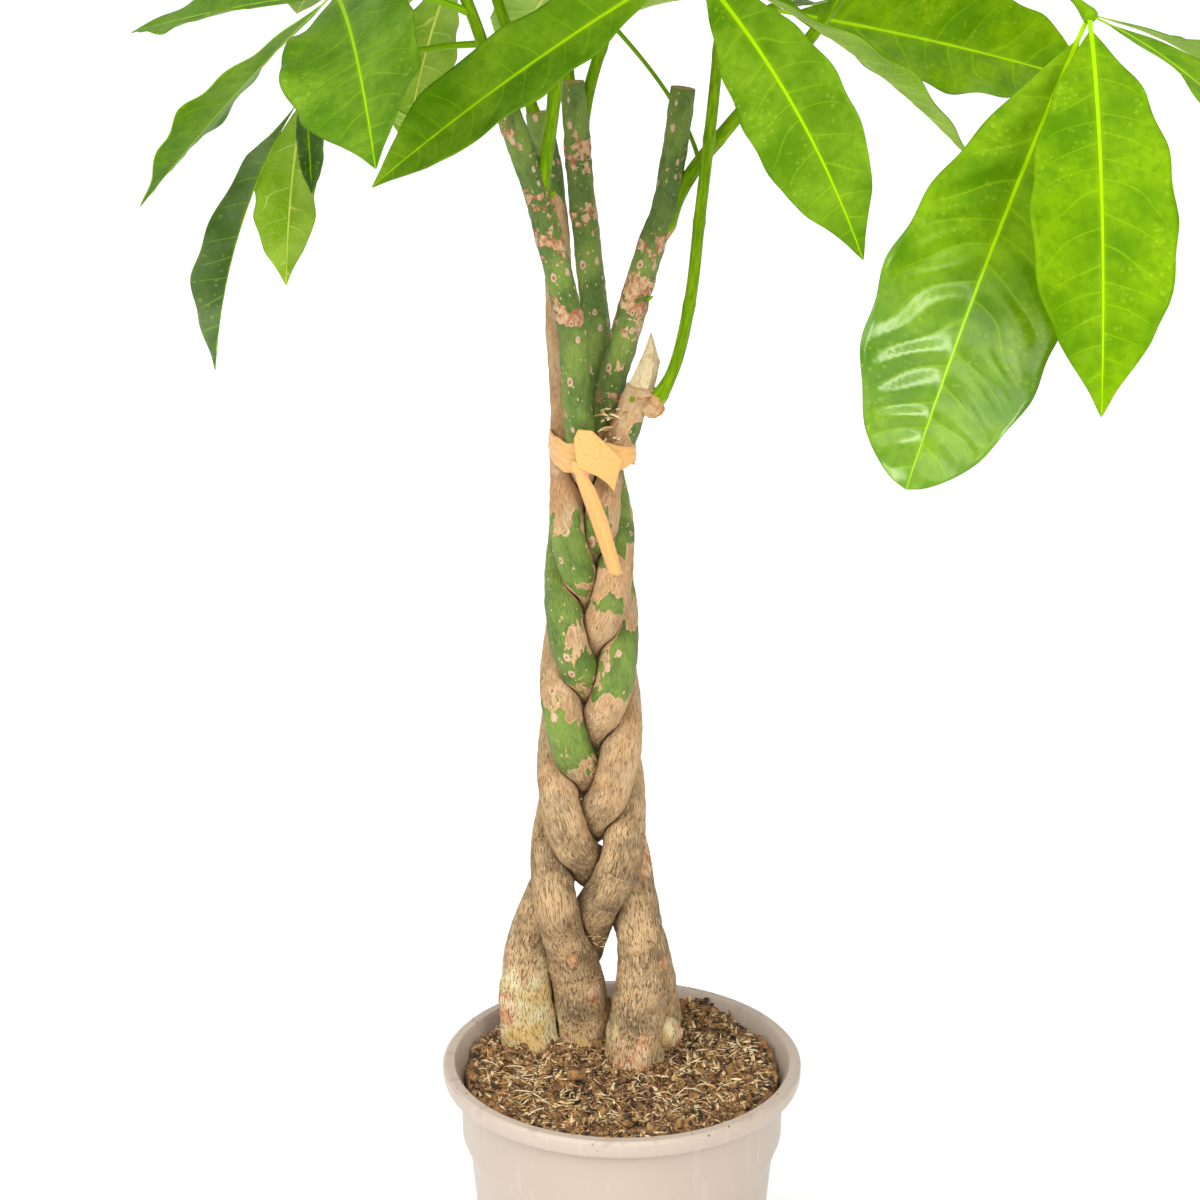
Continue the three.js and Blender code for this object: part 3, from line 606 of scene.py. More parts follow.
def foot_tone(tree, grain, fibres, tone):
    """Cream and ochre bark at the foot, and places where it is torn down to reddish bast."""
    foot = stored(tree, "foot")
    cream = mixed(tree, rise(tree, cloud(tree, grain, 48.0, 4.0), 0.4, 0.6), colour(238, 200, 124),
                  colour(255, 242, 190))
    cream = painted(tree, cream, fibres["Cracks"], 0.6, 142, 108, 56)
    low = patches(tree, scaled(tree, grain, 1, 1, 0.4), 62.0, foot, 0.16)
    tone = mixed(tree, times(tree, low, 0.85), tone, cream)
    torn = patches(tree, scaled(tree, grain, 1, 1, 0.22), 150.0, stored(tree, "torn"), 0.04)
    bast = mixed(tree, rise(tree, cloud(tree, grain, 120.0, 4.0), 0.35, 0.65), colour(222, 146, 92),
                 colour(255, 222, 176))
    bast = painted(tree, bast, fibres["Cracks"], 0.7, 138, 92, 60)
    return mixed(tree, torn, tone, bast), torn


def bark_material():
    """Green skin under flaking tan cork, with fissures low down, round pores, rings of scars and
    painted shade in the gaps where the trunks press together.
    """
    material, tree, shader = new_material("trunk_bark")
    grain = stored(tree, "grain", "Vector")
    green = stored(tree, "green")
    fibres = fibre_lines(tree, grain, 2000.0)
    cork, cracks = cork_tone(tree, grain, fibres)
    cork, torn = foot_tone(tree, grain, fibres, cork)

    skin = mixed(tree, rise(tree, cloud(tree, grain, 48.0, 3.0), 0.35, 0.65), colour(82, 116, 34),
                 colour(138, 166, 62))
    skin = painted(tree, skin, fibres["Lines"], 0.4, 172, 190, 114)
    flaking = scaled(tree, grain, 1, 1, 0.7)
    wider = maths(tree, "ADD", green, 0.045)
    edge = patches(tree, flaking, 46.0, wider, 0.01)
    fresh = patches(tree, flaking, 46.0, green, 0.01)
    tone = mixed(tree, edge, cork, colour(250, 200, 152))
    tone = mixed(tree, fresh, tone, skin)

    squeezed = scaled(tree, grain, 0.45, 0.45, 1)
    scarred = patches(tree, squeezed, 165.0, stored(tree, "scar"), 0.02)
    scar_tone = mixed(tree, rise(tree, cloud(tree, grain, 170.0, 4.0), 0.4, 0.62),
                      colour(250, 206, 158), colour(198, 124, 84))
    tone = mixed(tree, scarred, tone, scar_tone)

    shown = rise(tree, green, 0.15, 0.3)
    pores = round_spots(tree, grain, 88.0, 0.23, 0.7)
    tone = mixed(tree, times(tree, pores["Spot"], shown), tone, colour(248, 206, 170))
    tone = mixed(tree, times(tree, pores["Middle"], shown), tone, colour(186, 116, 88))
    dots = round_spots(tree, grain, 230.0, 0.2, 0.4)["Spot"]
    tone = mixed(tree, times(tree, dots, shown), tone, colour(232, 210, 150))

    # Painted shade: dark brown where the trunks press against each other, standing in for the shade in
    # the gaps between the braided strands.
    pressed_gap_shade = rise(tree, stored(tree, "pinch"), 0.05, 0.3, 0.0, 0.85)
    tone = mixed(tree, pressed_gap_shade, tone, colour(66, 44, 24))
    tone = mixed(tree, rise(tree, stored(tree, "cut"), 0.3, 0.7), tone, colour(240, 190, 134))
    wood = stored(tree, "wood")
    pale_wood = mixed(tree, fibres["Lines"], colour(246, 210, 150), colour(255, 240, 200))
    brown = rise(tree, cloud(tree, grain, 150.0, 4.0, 0.65), 0.56, 0.66, 0.0, 0.6)
    pale_wood = mixed(tree, brown, pale_wood, colour(206, 152, 92))
    tone = mixed(tree, wood, tone, pale_wood)
    feed(tree, shader["Base Color"], tone)

    feed(tree, shader["Roughness"], rise(tree, fresh, 0.0, 1.0, 0.85, 0.5))
    shader["Specular IOR Level"].default_value = 0.22
    height = times_plus(tree, fresh, -0.5, times(tree, fibres["Lines"], 0.4))
    height = times_plus(tree, cracks, -1.3, height)
    height = times_plus(tree, torn, -0.9, height)
    height = times_plus(tree, scarred, 0.7, height)
    height = times_plus(tree, times(tree, pores["Spot"], shown), 0.7, height)
    height = times_plus(tree, times(tree, pores["Middle"], shown), -0.6, height)
    feed(tree, shader["Normal"], relief(tree, height, 0.0007))
    return material


def shoot_material():
    """Smooth lime-green stem with faint lines and small pores, corky where it leaves the wood."""
    material, tree, shader = new_material("green_stem")
    grain = stored(tree, "grain", "Vector")
    lines = fibre_lines(tree, grain, 420.0)["Lines"]
    tone = mixed(tree, lines, colour(84, 132, 4), colour(134, 172, 8))
    dots = round_spots(tree, grain, 150.0, 0.16, 0.2)["Spot"]
    tone = painted(tree, tone, dots, 0.7, 196, 190, 110)
    ragged = times_plus(tree, cloud(tree, grain, 260.0, 4.0), 0.9, stored(tree, "foot"))
    base = rise(tree, ragged, 0.85, 1.05)
    cork = mixed(tree, cloud(tree, grain, 400.0, 3.0), colour(186, 124, 78), colour(246, 196, 146))
    tone = mixed(tree, base, tone, cork)
    feed(tree, shader["Base Color"], tone)
    feed(tree, shader["Roughness"], rise(tree, base, 0.0, 1.0, 0.4, 0.8))
    shader["Specular IOR Level"].default_value = 0.3
    shader["Specular Tint"].default_value = LEAF_GLOSS
    feed(tree, shader["Normal"], relief(tree, lines, 0.0001))
    return material


def leaf_top_material():
    """Green blade: soft lime midrib, thin side veins, pillows between them and pale specks."""
    material, tree, shader = new_material("leaf_top")
    blade = stored(tree, "blade", "Vector")
    age = stored(tree, "age")
    veins = blade_veins(tree, blade)
    flat = scaled(tree, blade, 1, 1, 0)
    broad = rise(tree, cloud(tree, flat, 26.0, 3.0), 0.3, 0.7)
    fresh = mixed(tree, broad, colour(84, 136, 0), colour(126, 172, 0))
    dark = mixed(tree, broad, colour(52, 82, 36), colour(104, 128, 84))
    tone = mixed(tree, age, fresh, dark)
    flecked = rise(tree, cloud(tree, flat, 180.0, 4.0, 0.6), 0.45, 0.62, 0.0, 0.3)
    tone = mixed(tree, flecked, tone, colour(72, 118, 0))
    mottled = rise(tree, cloud(tree, flat, 20.0), 0.46, 0.6)
    bloom = round_spots(tree, flat, 300.0, 0.36, 0.45)["Spot"]
    tone = painted(tree, tone, times(tree, bloom, mottled), 0.2, 186, 212, 60)
    specks = round_spots(tree, flat, 26.0, 0.035, 0.2)["Spot"]
    tone = painted(tree, tone, specks, 0.9, 240, 236, 110)
    tone = painted(tree, tone, veins["Veins"], 0.3, 160, 208, 10)
    tone = painted(tree, tone, veins["Glow"], 0.3, 140, 190, 0)
    tone = painted(tree, tone, veins["Midrib"], 0.9, 174, 226, 0)
    feed(tree, shader["Base Color"], tone)
    shine = stored(tree, "shine")
    feed(tree, shader["Roughness"], times_plus(tree, shine, -0.2, 0.5))
    feed(tree, shader["Coat Weight"], rise(tree, shine, 0.3, 1.3))
    shader["Coat Roughness"].default_value = 0.27
    shader["Specular IOR Level"].default_value = 0.22
    shader["Specular Tint"].default_value = LEAF_GLOSS
    height = times_plus(tree, veins["Midrib"], -0.5, times(tree, veins["Pillow"], 0.14))
    height = times_plus(tree, cloud(tree, flat, 90.0, 2.0), 0.5, height)
    feed(tree, shader["Normal"], relief(tree, height, 0.0008, 0.7))
    return material


def leaf_under_material():
    """Paler, duller underside with raised lime veins and a fine net between them."""
    material, tree, shader = new_material("leaf_underside")
    blade = stored(tree, "blade", "Vector")
    veins = blade_veins(tree, blade)
    broad = rise(tree, cloud(tree, scaled(tree, blade, 1, 1, 0), 30.0), 0.35, 0.65)
    tone = mixed(tree, broad, colour(124, 170, 20), colour(160, 198, 60))
    tone = painted(tree, tone, stored(tree, "age"), 0.5, 110, 144, 80)
    tone = painted(tree, tone, veins["Net"], 0.35, 182, 212, 96)
    tone = painted(tree, tone, veins["Veins"], 0.85, 206, 232, 104)
    tone = mixed(tree, veins["Midrib"], tone, colour(216, 240, 90))
    feed(tree, shader["Base Color"], tone)
    shader["Roughness"].default_value = 0.6
    shader["Specular IOR Level"].default_value = 0.25
    shader["Specular Tint"].default_value = LEAF_GLOSS
    height = maths(tree, "ADD", veins["Veins"], times(tree, veins["Midrib"], 2.0))
    height = times_plus(tree, veins["Net"], 0.2, height)
    feed(tree, shader["Normal"], relief(tree, height, 0.0004))
    return material


def petiole_material():
    """Lime-green leaf stalk, smooth and a little shiny."""
    material, tree, shader = new_material("leaf_stalk")
    place = object_place(tree)
    tone = mixed(tree, cloud(tree, place, 60.0), colour(92, 148, 0), colour(140, 188, 4))
    feed(tree, shader["Base Color"], tone)
    shader["Roughness"].default_value = 0.38
    shader["Specular IOR Level"].default_value = 0.35
    shader["Specular Tint"].default_value = LEAF_GLOSS
    feed(tree, shader["Normal"], relief(tree, cloud(tree, place, 500.0), 0.0001))
    return material


def ribbon_material():
    """Peach ribbon with fine lengthwise threads, creases and a pink fold."""
    material, tree, shader = new_material("peach_ribbon")
    along = stored(tree, "weave", "Vector")
    lines = fibre_lines(tree, along, 900.0)["Lines"]
    tone = mixed(tree, lines, colour(240, 176, 88), colour(253, 200, 120))
    worn = patches(tree, along, 110.0, 0.3, 0.2)
    tone = painted(tree, tone, worn, 0.4, 255, 220, 172)
    tone = painted(tree, tone, stored(tree, "blush"), 0.75, 240, 132, 116)
    feed(tree, shader["Base Color"], tone)
    shader["Roughness"].default_value = 0.55
    shader["Sheen Weight"].default_value = 0.2
    creases = cloud(tree, scaled(tree, along, 1, 1, 0.2), 120.0, 2.0)
    threads = times(tree, lines, 0.25)
    feed(tree, shader["Normal"], relief(tree, times_plus(tree, creases, 1.5, threads), 0.0003))
    return material


# ---------------------------------------------------------------- pot


def pot_piece():
    """A profile turned round the axis, its edges rounded and its drains cut."""
    shoulder = POT_BAND_BOTTOM - POT_SHOULDER_DROP
    lip_bottom = POT_HEIGHT - POT_LIP_HEIGHT
    lip_inner = POT_RIM_RADIUS - POT_LIP_WIDTH
    profile = [
        (0, 0), (30, 0), (32, POT_FLOOR), (61, POT_FLOOR), (63, 0), (POT_FOOT_RADIUS - 3, 0),
        (POT_FOOT_RADIUS, 5), (POT_WALL_TOP_RADIUS, shoulder),
        (POT_BAND_RADIUS - 1, POT_BAND_BOTTOM), (POT_BAND_RADIUS, lip_bottom),
        (POT_RIM_RADIUS - 1, lip_bottom), (POT_RIM_RADIUS, lip_bottom + 3),
        (POT_RIM_RADIUS, POT_HEIGHT - 2), (POT_RIM_RADIUS - 2, POT_HEIGHT),
        (lip_inner + 1.5, POT_HEIGHT), (lip_inner, POT_HEIGHT - 2),
        (POT_BAND_RADIUS - POT_WALL, lip_bottom - 4),
        (POT_BAND_RADIUS - 1 - POT_WALL, POT_BAND_BOTTOM - 1),
        (POT_WALL_TOP_RADIUS - POT_WALL, shoulder - 1),
        (POT_FOOT_RADIUS - POT_WALL, POT_FLOOR + POT_WALL), (0, POT_FLOOR + POT_WALL),
    ]
    mesh = bpy.data.meshes.new("pot_profile")
    edges = [(i, i + 1) for i in range(len(profile) - 1)]
    mesh.from_pydata([(r * MM, 0, z * MM) for r, z in profile], edges, [])
    pot = bpy.data.objects.new("pot_moulded", mesh)
    bpy.context.scene.collection.objects.link(pot)
    turn = pot.modifiers.new("turn", "SCREW")
    turn.steps = turn.render_steps = POT_TURN_STEPS
    turn.use_merge_vertices = True
    turn.merge_threshold = 0.00001
    apply_all(pot)
    face_outwards(pot)
    cut_drains(pot)
    soften = pot.modifiers.new("soften", "BEVEL")
    soften.width = 0.0007
    soften.segments = 3
    soften.angle_limit = math.radians(24)
    apply_all(pot)
    bpy.ops.object.shade_smooth_by_angle(angle=math.radians(35))
    pot.data.materials.append(pot_material())
    settle(pot, "pot", "pot")


def cut_drains(pot):
    drains = []
    for hole in range(DRAIN_COUNT):
        angle = (hole + 0.5) * 2 * math.pi / DRAIN_COUNT
        place = (DRAIN_CIRCLE * math.cos(angle) * MM, DRAIN_CIRCLE * math.sin(angle) * MM, 0.004)
        bpy.ops.mesh.primitive_cylinder_add(vertices=32, radius=DRAIN_RADIUS * MM, depth=0.02,
                                            location=place)
        drains.append(bpy.context.object)
    cutter = join_all("drain_cutter", drains)
    cut = pot.modifiers.new("drains", "BOOLEAN")
    cut.object = cutter
    cut.operation = "DIFFERENCE"
    apply_all(pot)
    bpy.data.objects.remove(cutter)


# ---------------------------------------------------------------- soil


def soil_height(x, y):
    """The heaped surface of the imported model, with crumbs of three sizes on it."""
    from_trunks = math.hypot(x - BRAID_AXIS[0], y - BRAID_AXIS[1])
    heap = 7 * math.exp(-((from_trunks / 45) ** 2))
    back = 9 * math.exp(-(((x - SOIL_HEAP[0]) / 16) ** 2) - (((y - SOIL_HEAP[1]) / 11) ** 2))
    clods = math.sin(x / 11 + 1.3) * math.cos(y / 9 - 0.6) + 0.6 * math.sin((x + y) / 6.3)
    crumbs = 4.2 * noise.noise(Vector((x / 9, y / 9, 3))) + 3.4 * noise.noise(Vector((x / 4, y / 4, 7)))
    grit = 2.0 * noise.noise(Vector((x / 1.9, y / 1.9, 11)))
    settled = 5 * max(0, math.hypot(x, y) / SOIL_RADIUS - 0.9) * 10
    return SOIL_LEVEL + heap + back + 2.5 * clods + crumbs + grit - settled


def soil_piece():
    """A fine lumpy top on a plain body that fills the pot."""
    places = [(0, 0, soil_height(0, 0))]
    for ring in range(1, SOIL_RINGS + 1):
        radius = SOIL_RADIUS * (ring / SOIL_RINGS) ** 0.9
        for spoke in range(SOIL_SPOKES):
            turn = 2 * math.pi * spoke / SOIL_SPOKES
            x, y = radius * math.cos(turn), radius * math.sin(turn)
            places.append((x, y, soil_height(x, y)))
    for radius, height in SOIL_BODY:
        for spoke in range(SOIL_SPOKES):
            turn = 2 * math.pi * spoke / SOIL_SPOKES
            places.append((radius * math.cos(turn), radius * math.sin(turn), height))
    faces = [(0, 1 + s, 1 + (s + 1) % SOIL_SPOKES) for s in range(SOIL_SPOKES)]
    for ring in range(SOIL_RINGS + len(SOIL_BODY) - 1):
        start = 1 + ring * SOIL_SPOKES
        for s in range(SOIL_SPOKES):
            a, b = start + s, start + (s + 1) % SOIL_SPOKES
            faces.append((a, a + SOIL_SPOKES, b + SOIL_SPOKES, b))
    last = 1 + (SOIL_RINGS + len(SOIL_BODY) - 1) * SOIL_SPOKES
    faces.append(tuple(range(last + SOIL_SPOKES - 1, last - 1, -1)))
    soil = new_piece("soil_fill", places, faces)
    soil.data.materials.append(SOIL)
    settle(soil, "soil", "soil")


def spot_in_box(low, high, number):
    """A drawn place between two corners."""
    return Vector(between(a, b, number + 0.3 * axis) for axis, (a, b) in enumerate(zip(low, high)))


def spot_on_soil(number, clear=4):
    """A drawn place on the soil, clear of the pot's wall."""
    radius = (SOIL_RADIUS - clear) * math.sqrt(draw(number))
    turn = 2 * math.pi * draw(number + 0.5)
    return radius * math.cos(turn), radius * math.sin(turn)


def soil_clods():
    """Loose crumbs of peat and bark, each a small ball pushed out of round."""
    bpy.ops.mesh.primitive_ico_sphere_add(subdivisions=2, radius=1)
    ball = bpy.context.object
    corners = [vertex.co.copy() for vertex in ball.data.vertices]
    ball_faces = [tuple(face.vertices) for face in ball.data.polygons]
    bpy.data.objects.remove(ball)
    places, faces = [], []
    for number in range(CLOD_COUNT):
        x, y = spot_on_soil(3 * number + 11)
        if number % 5 == 0:
            x, y = SOIL_HEAP[0] + between(-26, 24, number), SOIL_HEAP[1] + between(-18, 8, number + 0.3)
        if math.hypot(x, y) > SOIL_RADIUS - 4:
            continue
        size = between(0.9, 2.2, number) if number % 7 else between(2.6, 4.8, number)
        if number == 0:
            x, y, size = -30, -34, 6.5
        centre = Vector((x, y, soil_height(x, y) + 0.3 * size))
        turn = Quaternion(heading(ANY_TURN * draw(number + 0.2), 1.2), ANY_TURN * draw(number + 0.7))
        start = len(places)
        for corner in corners:
            lump = 1 + 0.55 * noise.noise(corner * 1.9 + Vector((number, 0, 0)))
            shape = turn @ Vector((corner.x, corner.y * 0.8, corner.z * 0.65))
            places.append(centre + shape * (size * lump))
        faces.extend(tuple(start + v for v in face) for face in ball_faces)
    clods = new_piece("soil_clods", places, faces)
    clods.data.materials.append(SOIL)
    settle(clods, "soil")


def soil_crumbs():
    """Thousands of tiny chips on the soil, each a tilted eight-sided grain with its own shade."""
    corners = [Vector(c) for c in ((1, 0, 0), (0, 1, 0), (-1, 0, 0), (0, -1, 0), (0, 0, 0.7),
                                   (0, 0, -0.7))]
    sides = [(0, 1, 4), (1, 2, 4), (2, 3, 4), (3, 0, 4), (1, 0, 5), (2, 1, 5), (3, 2, 5), (0, 3, 5)]
    places, faces, shades = [], [], []
    for number in range(CRUMB_COUNT):
        x, y = spot_on_soil(2 * number + 5)
        size = 0.55 + 1.8 * draw(number + 0.15) ** 3
        centre = Vector((x, y, soil_height(x, y) + 0.4 * size))
        turn = Quaternion(heading(ANY_TURN * draw(number + 0.2), 1.1), ANY_TURN * draw(number + 0.7))
        stretch = Vector((between(0.8, 2.8, number + 0.3), 0.75, between(0.35, 0.9, number + 0.6)))
        start = len(places)
        places.extend(centre + turn @ (corner * stretch * size) for corner in corners)
        faces.extend(tuple(start + v for v in side) for side in sides)
        shades.extend([draw(number + 0.45) ** 1.3] * len(corners))
    crumbs = new_piece("soil_crumbs", places, faces)
    crumbs.data.polygons.foreach_set("use_smooth", [False] * len(faces))
    set_values(crumbs, "shade", shades)
    crumbs.data.materials.append(CRUMB)
    settle(crumbs, "soil")


def fibre_heap(name, count, spot, length, thickness, pale=0.0):
    """Short bent straws lying where spot(number) puts them."""
    places, faces, shades = [], [], []
    for number in range(count):
        root = spot(number)
        azimuth = ANY_TURN * draw(number + 0.1)
        pitch = between(-0.25, 0.7, number + 0.4) ** 3 * 2
        bend = between(-1.6, 1.6, number + 0.6)
        reach = length * between(0.35, 1.0, number + 0.8) ** 1.5
        line = [root]
        for step in range(4):
            way = heading(azimuth + bend * step / 4, pitch - 0.16 * step)
            line.append(line[-1] + way * (reach / 4))
        size = thickness * between(0.6, 1.3, number + 0.9)
        shape = [0.7, 1, 1, 0.9, 0.3]
        tube_places, tube_faces = tube_mesh(line, 4, lambda index, turn: size * shape[index])
        start = len(places)
        places.extend(tube_places)
        faces.extend(tuple(start + v for v in face) for face in tube_faces)
        shades.extend([pale + (1 - pale) * draw(number + 0.77)] * len(tube_places))
    heap = new_piece(name, places, faces)
    set_values(heap, "shade", shades)
    heap.data.materials.append(FIBRE)
    return heap


def soil_fibres():
    def spot(number):
        x, y = spot_on_soil(5 * number + 2, 11)
        return Vector((x, y, soil_height(x, y) + 0.5))
    settle(fibre_heap("soil_fibres", FIBRE_COUNT, spot, 9, 0.36), "soil")

    def clump(number):
        middle = STRAW_CLUMPS[number % len(STRAW_CLUMPS)]
        x = middle[0] + between(-middle[2], middle[2], number)
        y = middle[1] + 0.7 * between(-middle[2], middle[2], number + 0.4)
        inwards = min(1, (SOIL_RADIUS - 19) / math.hypot(x, y))
        x, y = x * inwards, y * inwards
        return Vector((x, y, soil_height(x, y) + 1.2))
    settle(fibre_heap("straw_clumps", STRAW_COUNT, clump, 17, 0.5, 0.5), "soil")


# ---------------------------------------------------------------- trunks


def woven_point(order, height):
    above_soil = height - SOIL_LEVEL
    crossing = BRAID_FIRST_CROSSING - BRAID_TURN / len(TRUNKS) * order
    phase = 2 * math.pi * (crossing - above_soil) / BRAID_TURN
    swing = read_table(BRAID_SWING, above_soil)
    depth = BRAID_FLATNESS * read_table(TRUNK_RADIUS, above_soil)
    return (BRAID_AXIS[0] + swing * math.sin(phase), BRAID_AXIS[1] + depth * math.sin(2 * phase),
            height)


def trunk_line(order, name):
    woven = [woven_point(order, h) for h in range(BRAID_BOTTOM, BRAID_TOP + 1, BRAID_STEP)]
    points = TRUNKS[name]["foot"] + woven + TRUNKS[name]["top"]
    rough = curve_through(points, 60)
    length = sum((b - a).length for a, b in zip(rough, rough[1:]))
    return curve_through(points, round(length / TRUNK_RING_STEP))


TRUNK_LINES = {name: trunk_line(order, name) for order, name in enumerate(TRUNKS)}


def distance_share(places, line):
    """Distance of each place to a trunk's line, as a share of that trunk's radius there."""
    centres = np.array(line)
    radii = np.array([read_table(TRUNK_RADIUS, point.z - SOIL_LEVEL) for point in line])
    squares = ((places ** 2).sum(1)[:, None] + (centres ** 2).sum(1)[None, :] - 2 * places @ centres.T)
    nearest = squares.argmin(1)
    gap = np.sqrt(np.maximum(squares[np.arange(len(places)), nearest], 0)) - PRESS_GAP
    return gap / radii[nearest]


def pressed_reach(name, centres, directions, radii):
    """Where two trunks grow against each other, each keeps to its own side between them."""
    others = [line for other, line in TRUNK_LINES.items() if other != name]
    inside, outside = np.zeros(len(radii)), np.array(radii)
    reach = np.array(radii)
    for _ in range(PRESS_TRIES):
        places = centres + directions * reach[:, None]
        clear = np.ones(len(radii), bool)
        for line in others:
            clear &= distance_share(places, line) >= reach / radii
        inside = np.where(clear, reach, inside)
        outside = np.where(clear, outside, reach)
        reach = np.where(inside >= radii, radii, (inside + outside) / 2)
    return inside


def blurred(grid):
    """Softens the crease lines of a ring-by-side table of reaches."""
    around = (np.roll(grid, 1, 1) + np.roll(grid, -1, 1) + 2 * grid) / 4
    padded = np.vstack([around[:1], around, around[-1:]])
    return (padded[:-2] + padded[2:] + 2 * padded[1:-1]) / 4


def bark_swell(name, grain, above_soil):
    """How far the bark stands out: broad lumps, rings of old scars, and ridges near the foot."""
    seed = Vector((7 * list(TRUNKS).index(name), 0, 0))
    lumps = 0.7 * noise.noise(grain / 24 + seed)
    rings = 0.45 * noise.noise(Vector((grain.x / 30, grain.y / 30, grain.z / 5)) + seed)
    foot = max(0.0, 1 - above_soil / 120)
    drawn_out = Vector((grain.x / 4.5, grain.y / 4.5, grain.z / 46))
    ridges = (0.35 + 1.3 * foot) * noise.noise(drawn_out + seed)
    knobs = 1.8 * foot * noise.noise(grain / 15 + seed * 2)
    fine = 0.22 * noise.noise(Vector((grain.x / 1.6, grain.y / 1.6, grain.z / 8)) + seed)
    scars = scar_strength(name, above_soil + SOIL_LEVEL) * (0.5 + noise.noise(grain / 6 + seed))
    return lumps + rings + ridges + knobs + fine + scars


# The cut top of a trunk: each ring's share of the radius, and its lift.
CUT_TOP = [(0.97, 0.35), (0.86, 0.5), (0.6, 0.2), (0.3, -0.2), (0.05, -0.3)]


def trunk_piece(name):
    line = TRUNK_LINES[name]
    if name == "trunk_broken_top":
        line = [point for point in line if point.z < BREAK_HEIGHT]
    frames = frames_along(line)
    turns = [2 * math.pi * side / TRUNK_SIDES for side in range(TRUNK_SIDES)]
    centres = np.repeat(np.array(line), TRUNK_SIDES, 0)
    directions = np.array([across * math.sin(t) + up * math.cos(t)
                           for _, across, up in frames for t in turns])
    radii = np.repeat([read_table(TRUNK_RADIUS, point.z - SOIL_LEVEL) for point in line], TRUNK_SIDES)
    reach = pressed_reach(name, centres, directions, radii).reshape(len(line), TRUNK_SIDES)
    reach = np.minimum(blurred(reach), reach + 0.4).ravel()
    lengths = np.cumsum([0] + [(b - a).length for a, b in zip(line, line[1:])])
    grains = [Vector((GRAIN_RADIUS * math.sin(t), GRAIN_RADIUS * math.cos(t), lengths[ring]))
              for ring in range(len(line)) for t in turns]
    squeezed = np.clip((reach / radii - 0.55) / 0.45, 0.15, 1)
    swell = np.array([bark_swell(name, grain, point[2] - SOIL_LEVEL)
                      for grain, point in zip(grains, centres)])
    places = centres + directions * (reach + swell * squeezed)[:, None]

    # The cut top: a small rounded rim and a face that sinks a little towards the middle.
    along = np.array(frames[-1][0])
    for share, lift in CUT_TOP:
        rim = places[(len(line) - 1) * TRUNK_SIDES:len(line) * TRUNK_SIDES]
        middle = centres[-TRUNK_SIDES:]
        places = np.vstack([places, middle + (rim - middle) * share + along * lift])
        grains += [grain + Vector((0, 0, lift)) for grain in grains[-TRUNK_SIDES:]]
    faces = tube_faces(len(line) + len(CUT_TOP), TRUNK_SIDES)
    trunk = new_piece(name + "_bark", places, faces)
    pinch = np.zeros(len(places))
    pinch[:len(reach)] = 1 - reach / radii
    mark_bark(trunk, name, places, np.array(grains), len(line), pinch)
    return trunk


# Torn reddish bark low on the trunks: trunk, x and height of the middle, radius.
TORN_BARK = [("trunk_right", 8, 220, 17), ("trunk_right", 14, 236, 8), ("trunk_back_left", -77, 246, 9),
             ("trunk_front_left", -33, 290, 5), ("trunk_right", 27, 290, 5),
             ("trunk_front_left", -19, 262, 8), ("trunk_right", 16, 352, 7)]
# Green skin left under the cork: trunk, x and height of the middle, radius.
GREEN_SPOTS = [("trunk_broken_top", 8, 652, 6.5)]

SCARS_FROM = 655                       # the height above which the bark carries leaf scars

# How much of the bark is cream or ochre against height.
FOOT_BARK = {
    "trunk_back_left": [[222, 0.95], [262, 0.8], [290, 0.5], [325, 0.1]],
    "trunk_front_left": [[222, 0.75], [240, 0.5], [262, 0.3], [300, 0.1]],
    "trunk_right": [[222, 0.7], [246, 0.45], [285, 0.25], [330, 0.1]],
    "other": [[222, 0.6], [250, 0.3], [290, 0.05]],
}

# How grey and fissured the bark is against height.
OLD_BARK = [[215, 1], [370, 0.95], [430, 0.55], [500, 0.28], [700, 0.24], [760, 0.1]]

# Bands where old leaves have left their scars: middle height, half height, strength.
SCAR_BANDS = {
    "trunk_front_left": [[798, 9, 0.7], [772, 13, 0.62], [727, 9, 0.9], [664, 6, 0.4], [835, 12, 0.45]],
    "trunk_middle": [[822, 14, 0.85], [784, 12, 0.6], [716, 6, 0.35], [690, 8, 0.4]],
    "trunk_right": [[768, 9, 0.6], [738, 15, 0.9], [716, 8, 0.5], [670, 7, 0.7], [812, 10, 0.3]],
    "trunk_back_left": [[810, 10, 0.4]],
}


def scar_strength(name, height):
    """How thickly leaf scars lie at a height."""
    bands = SCAR_BANDS.get(name, [])
    return min(1.0, sum(s * math.exp(-(((height - z) / half) ** 2)) for z, half, s in bands))


def near_spots(name, places, spots):
    """How close each place is to this trunk's spots, from 0 outside to 0.85 in their middles."""
    close = np.zeros(len(places))
    for trunk, x, height, radius in spots:
        if trunk == name:
            away = np.hypot(places[:, 0] - x, (places[:, 2] - height) / 1.7) / radius
            close = np.maximum(close, np.clip(0.95 * (1.25 - away), 0, 0.85))
    return close


def mark_bark(piece, name, places, grains, shaft_rings, pinch):
    heights = places[:, 2]
    wander = [16 * noise.noise(Vector(g) / 13) + 7 * noise.noise(Vector(g) / 5) for g in grains]
    green = np.interp(heights + wander, *zip(*TRUNKS[name]["green"])) - 0.03
    green = np.maximum(green, near_spots(name, places, GREEN_SPOTS))
    green = green - 0.5 * np.clip(pinch / 0.1, 0, 1) * (heights < 640)
    foot = np.interp(heights, *zip(*FOOT_BARK.get(name, FOOT_BARK["other"])))
    old = np.interp(heights, *zip(*OLD_BARK))
    scars = [0.18 + 0.56 * scar_strength(name, h) if h > SCARS_FROM else 0.0 for h in heights]
    ring = np.arange(len(places)) // TRUNK_SIDES
    marks = {"green": green, "foot": foot, "old": old, "scar": scars,
             "torn": near_spots(name, places, TORN_BARK), "pinch": pinch,
             "cut": ring >= shaft_rings, "wood": np.zeros(len(places))}
    set_vectors(piece, "grain", grains * MM)
    for label, values in marks.items():
        set_values(piece, label, values)


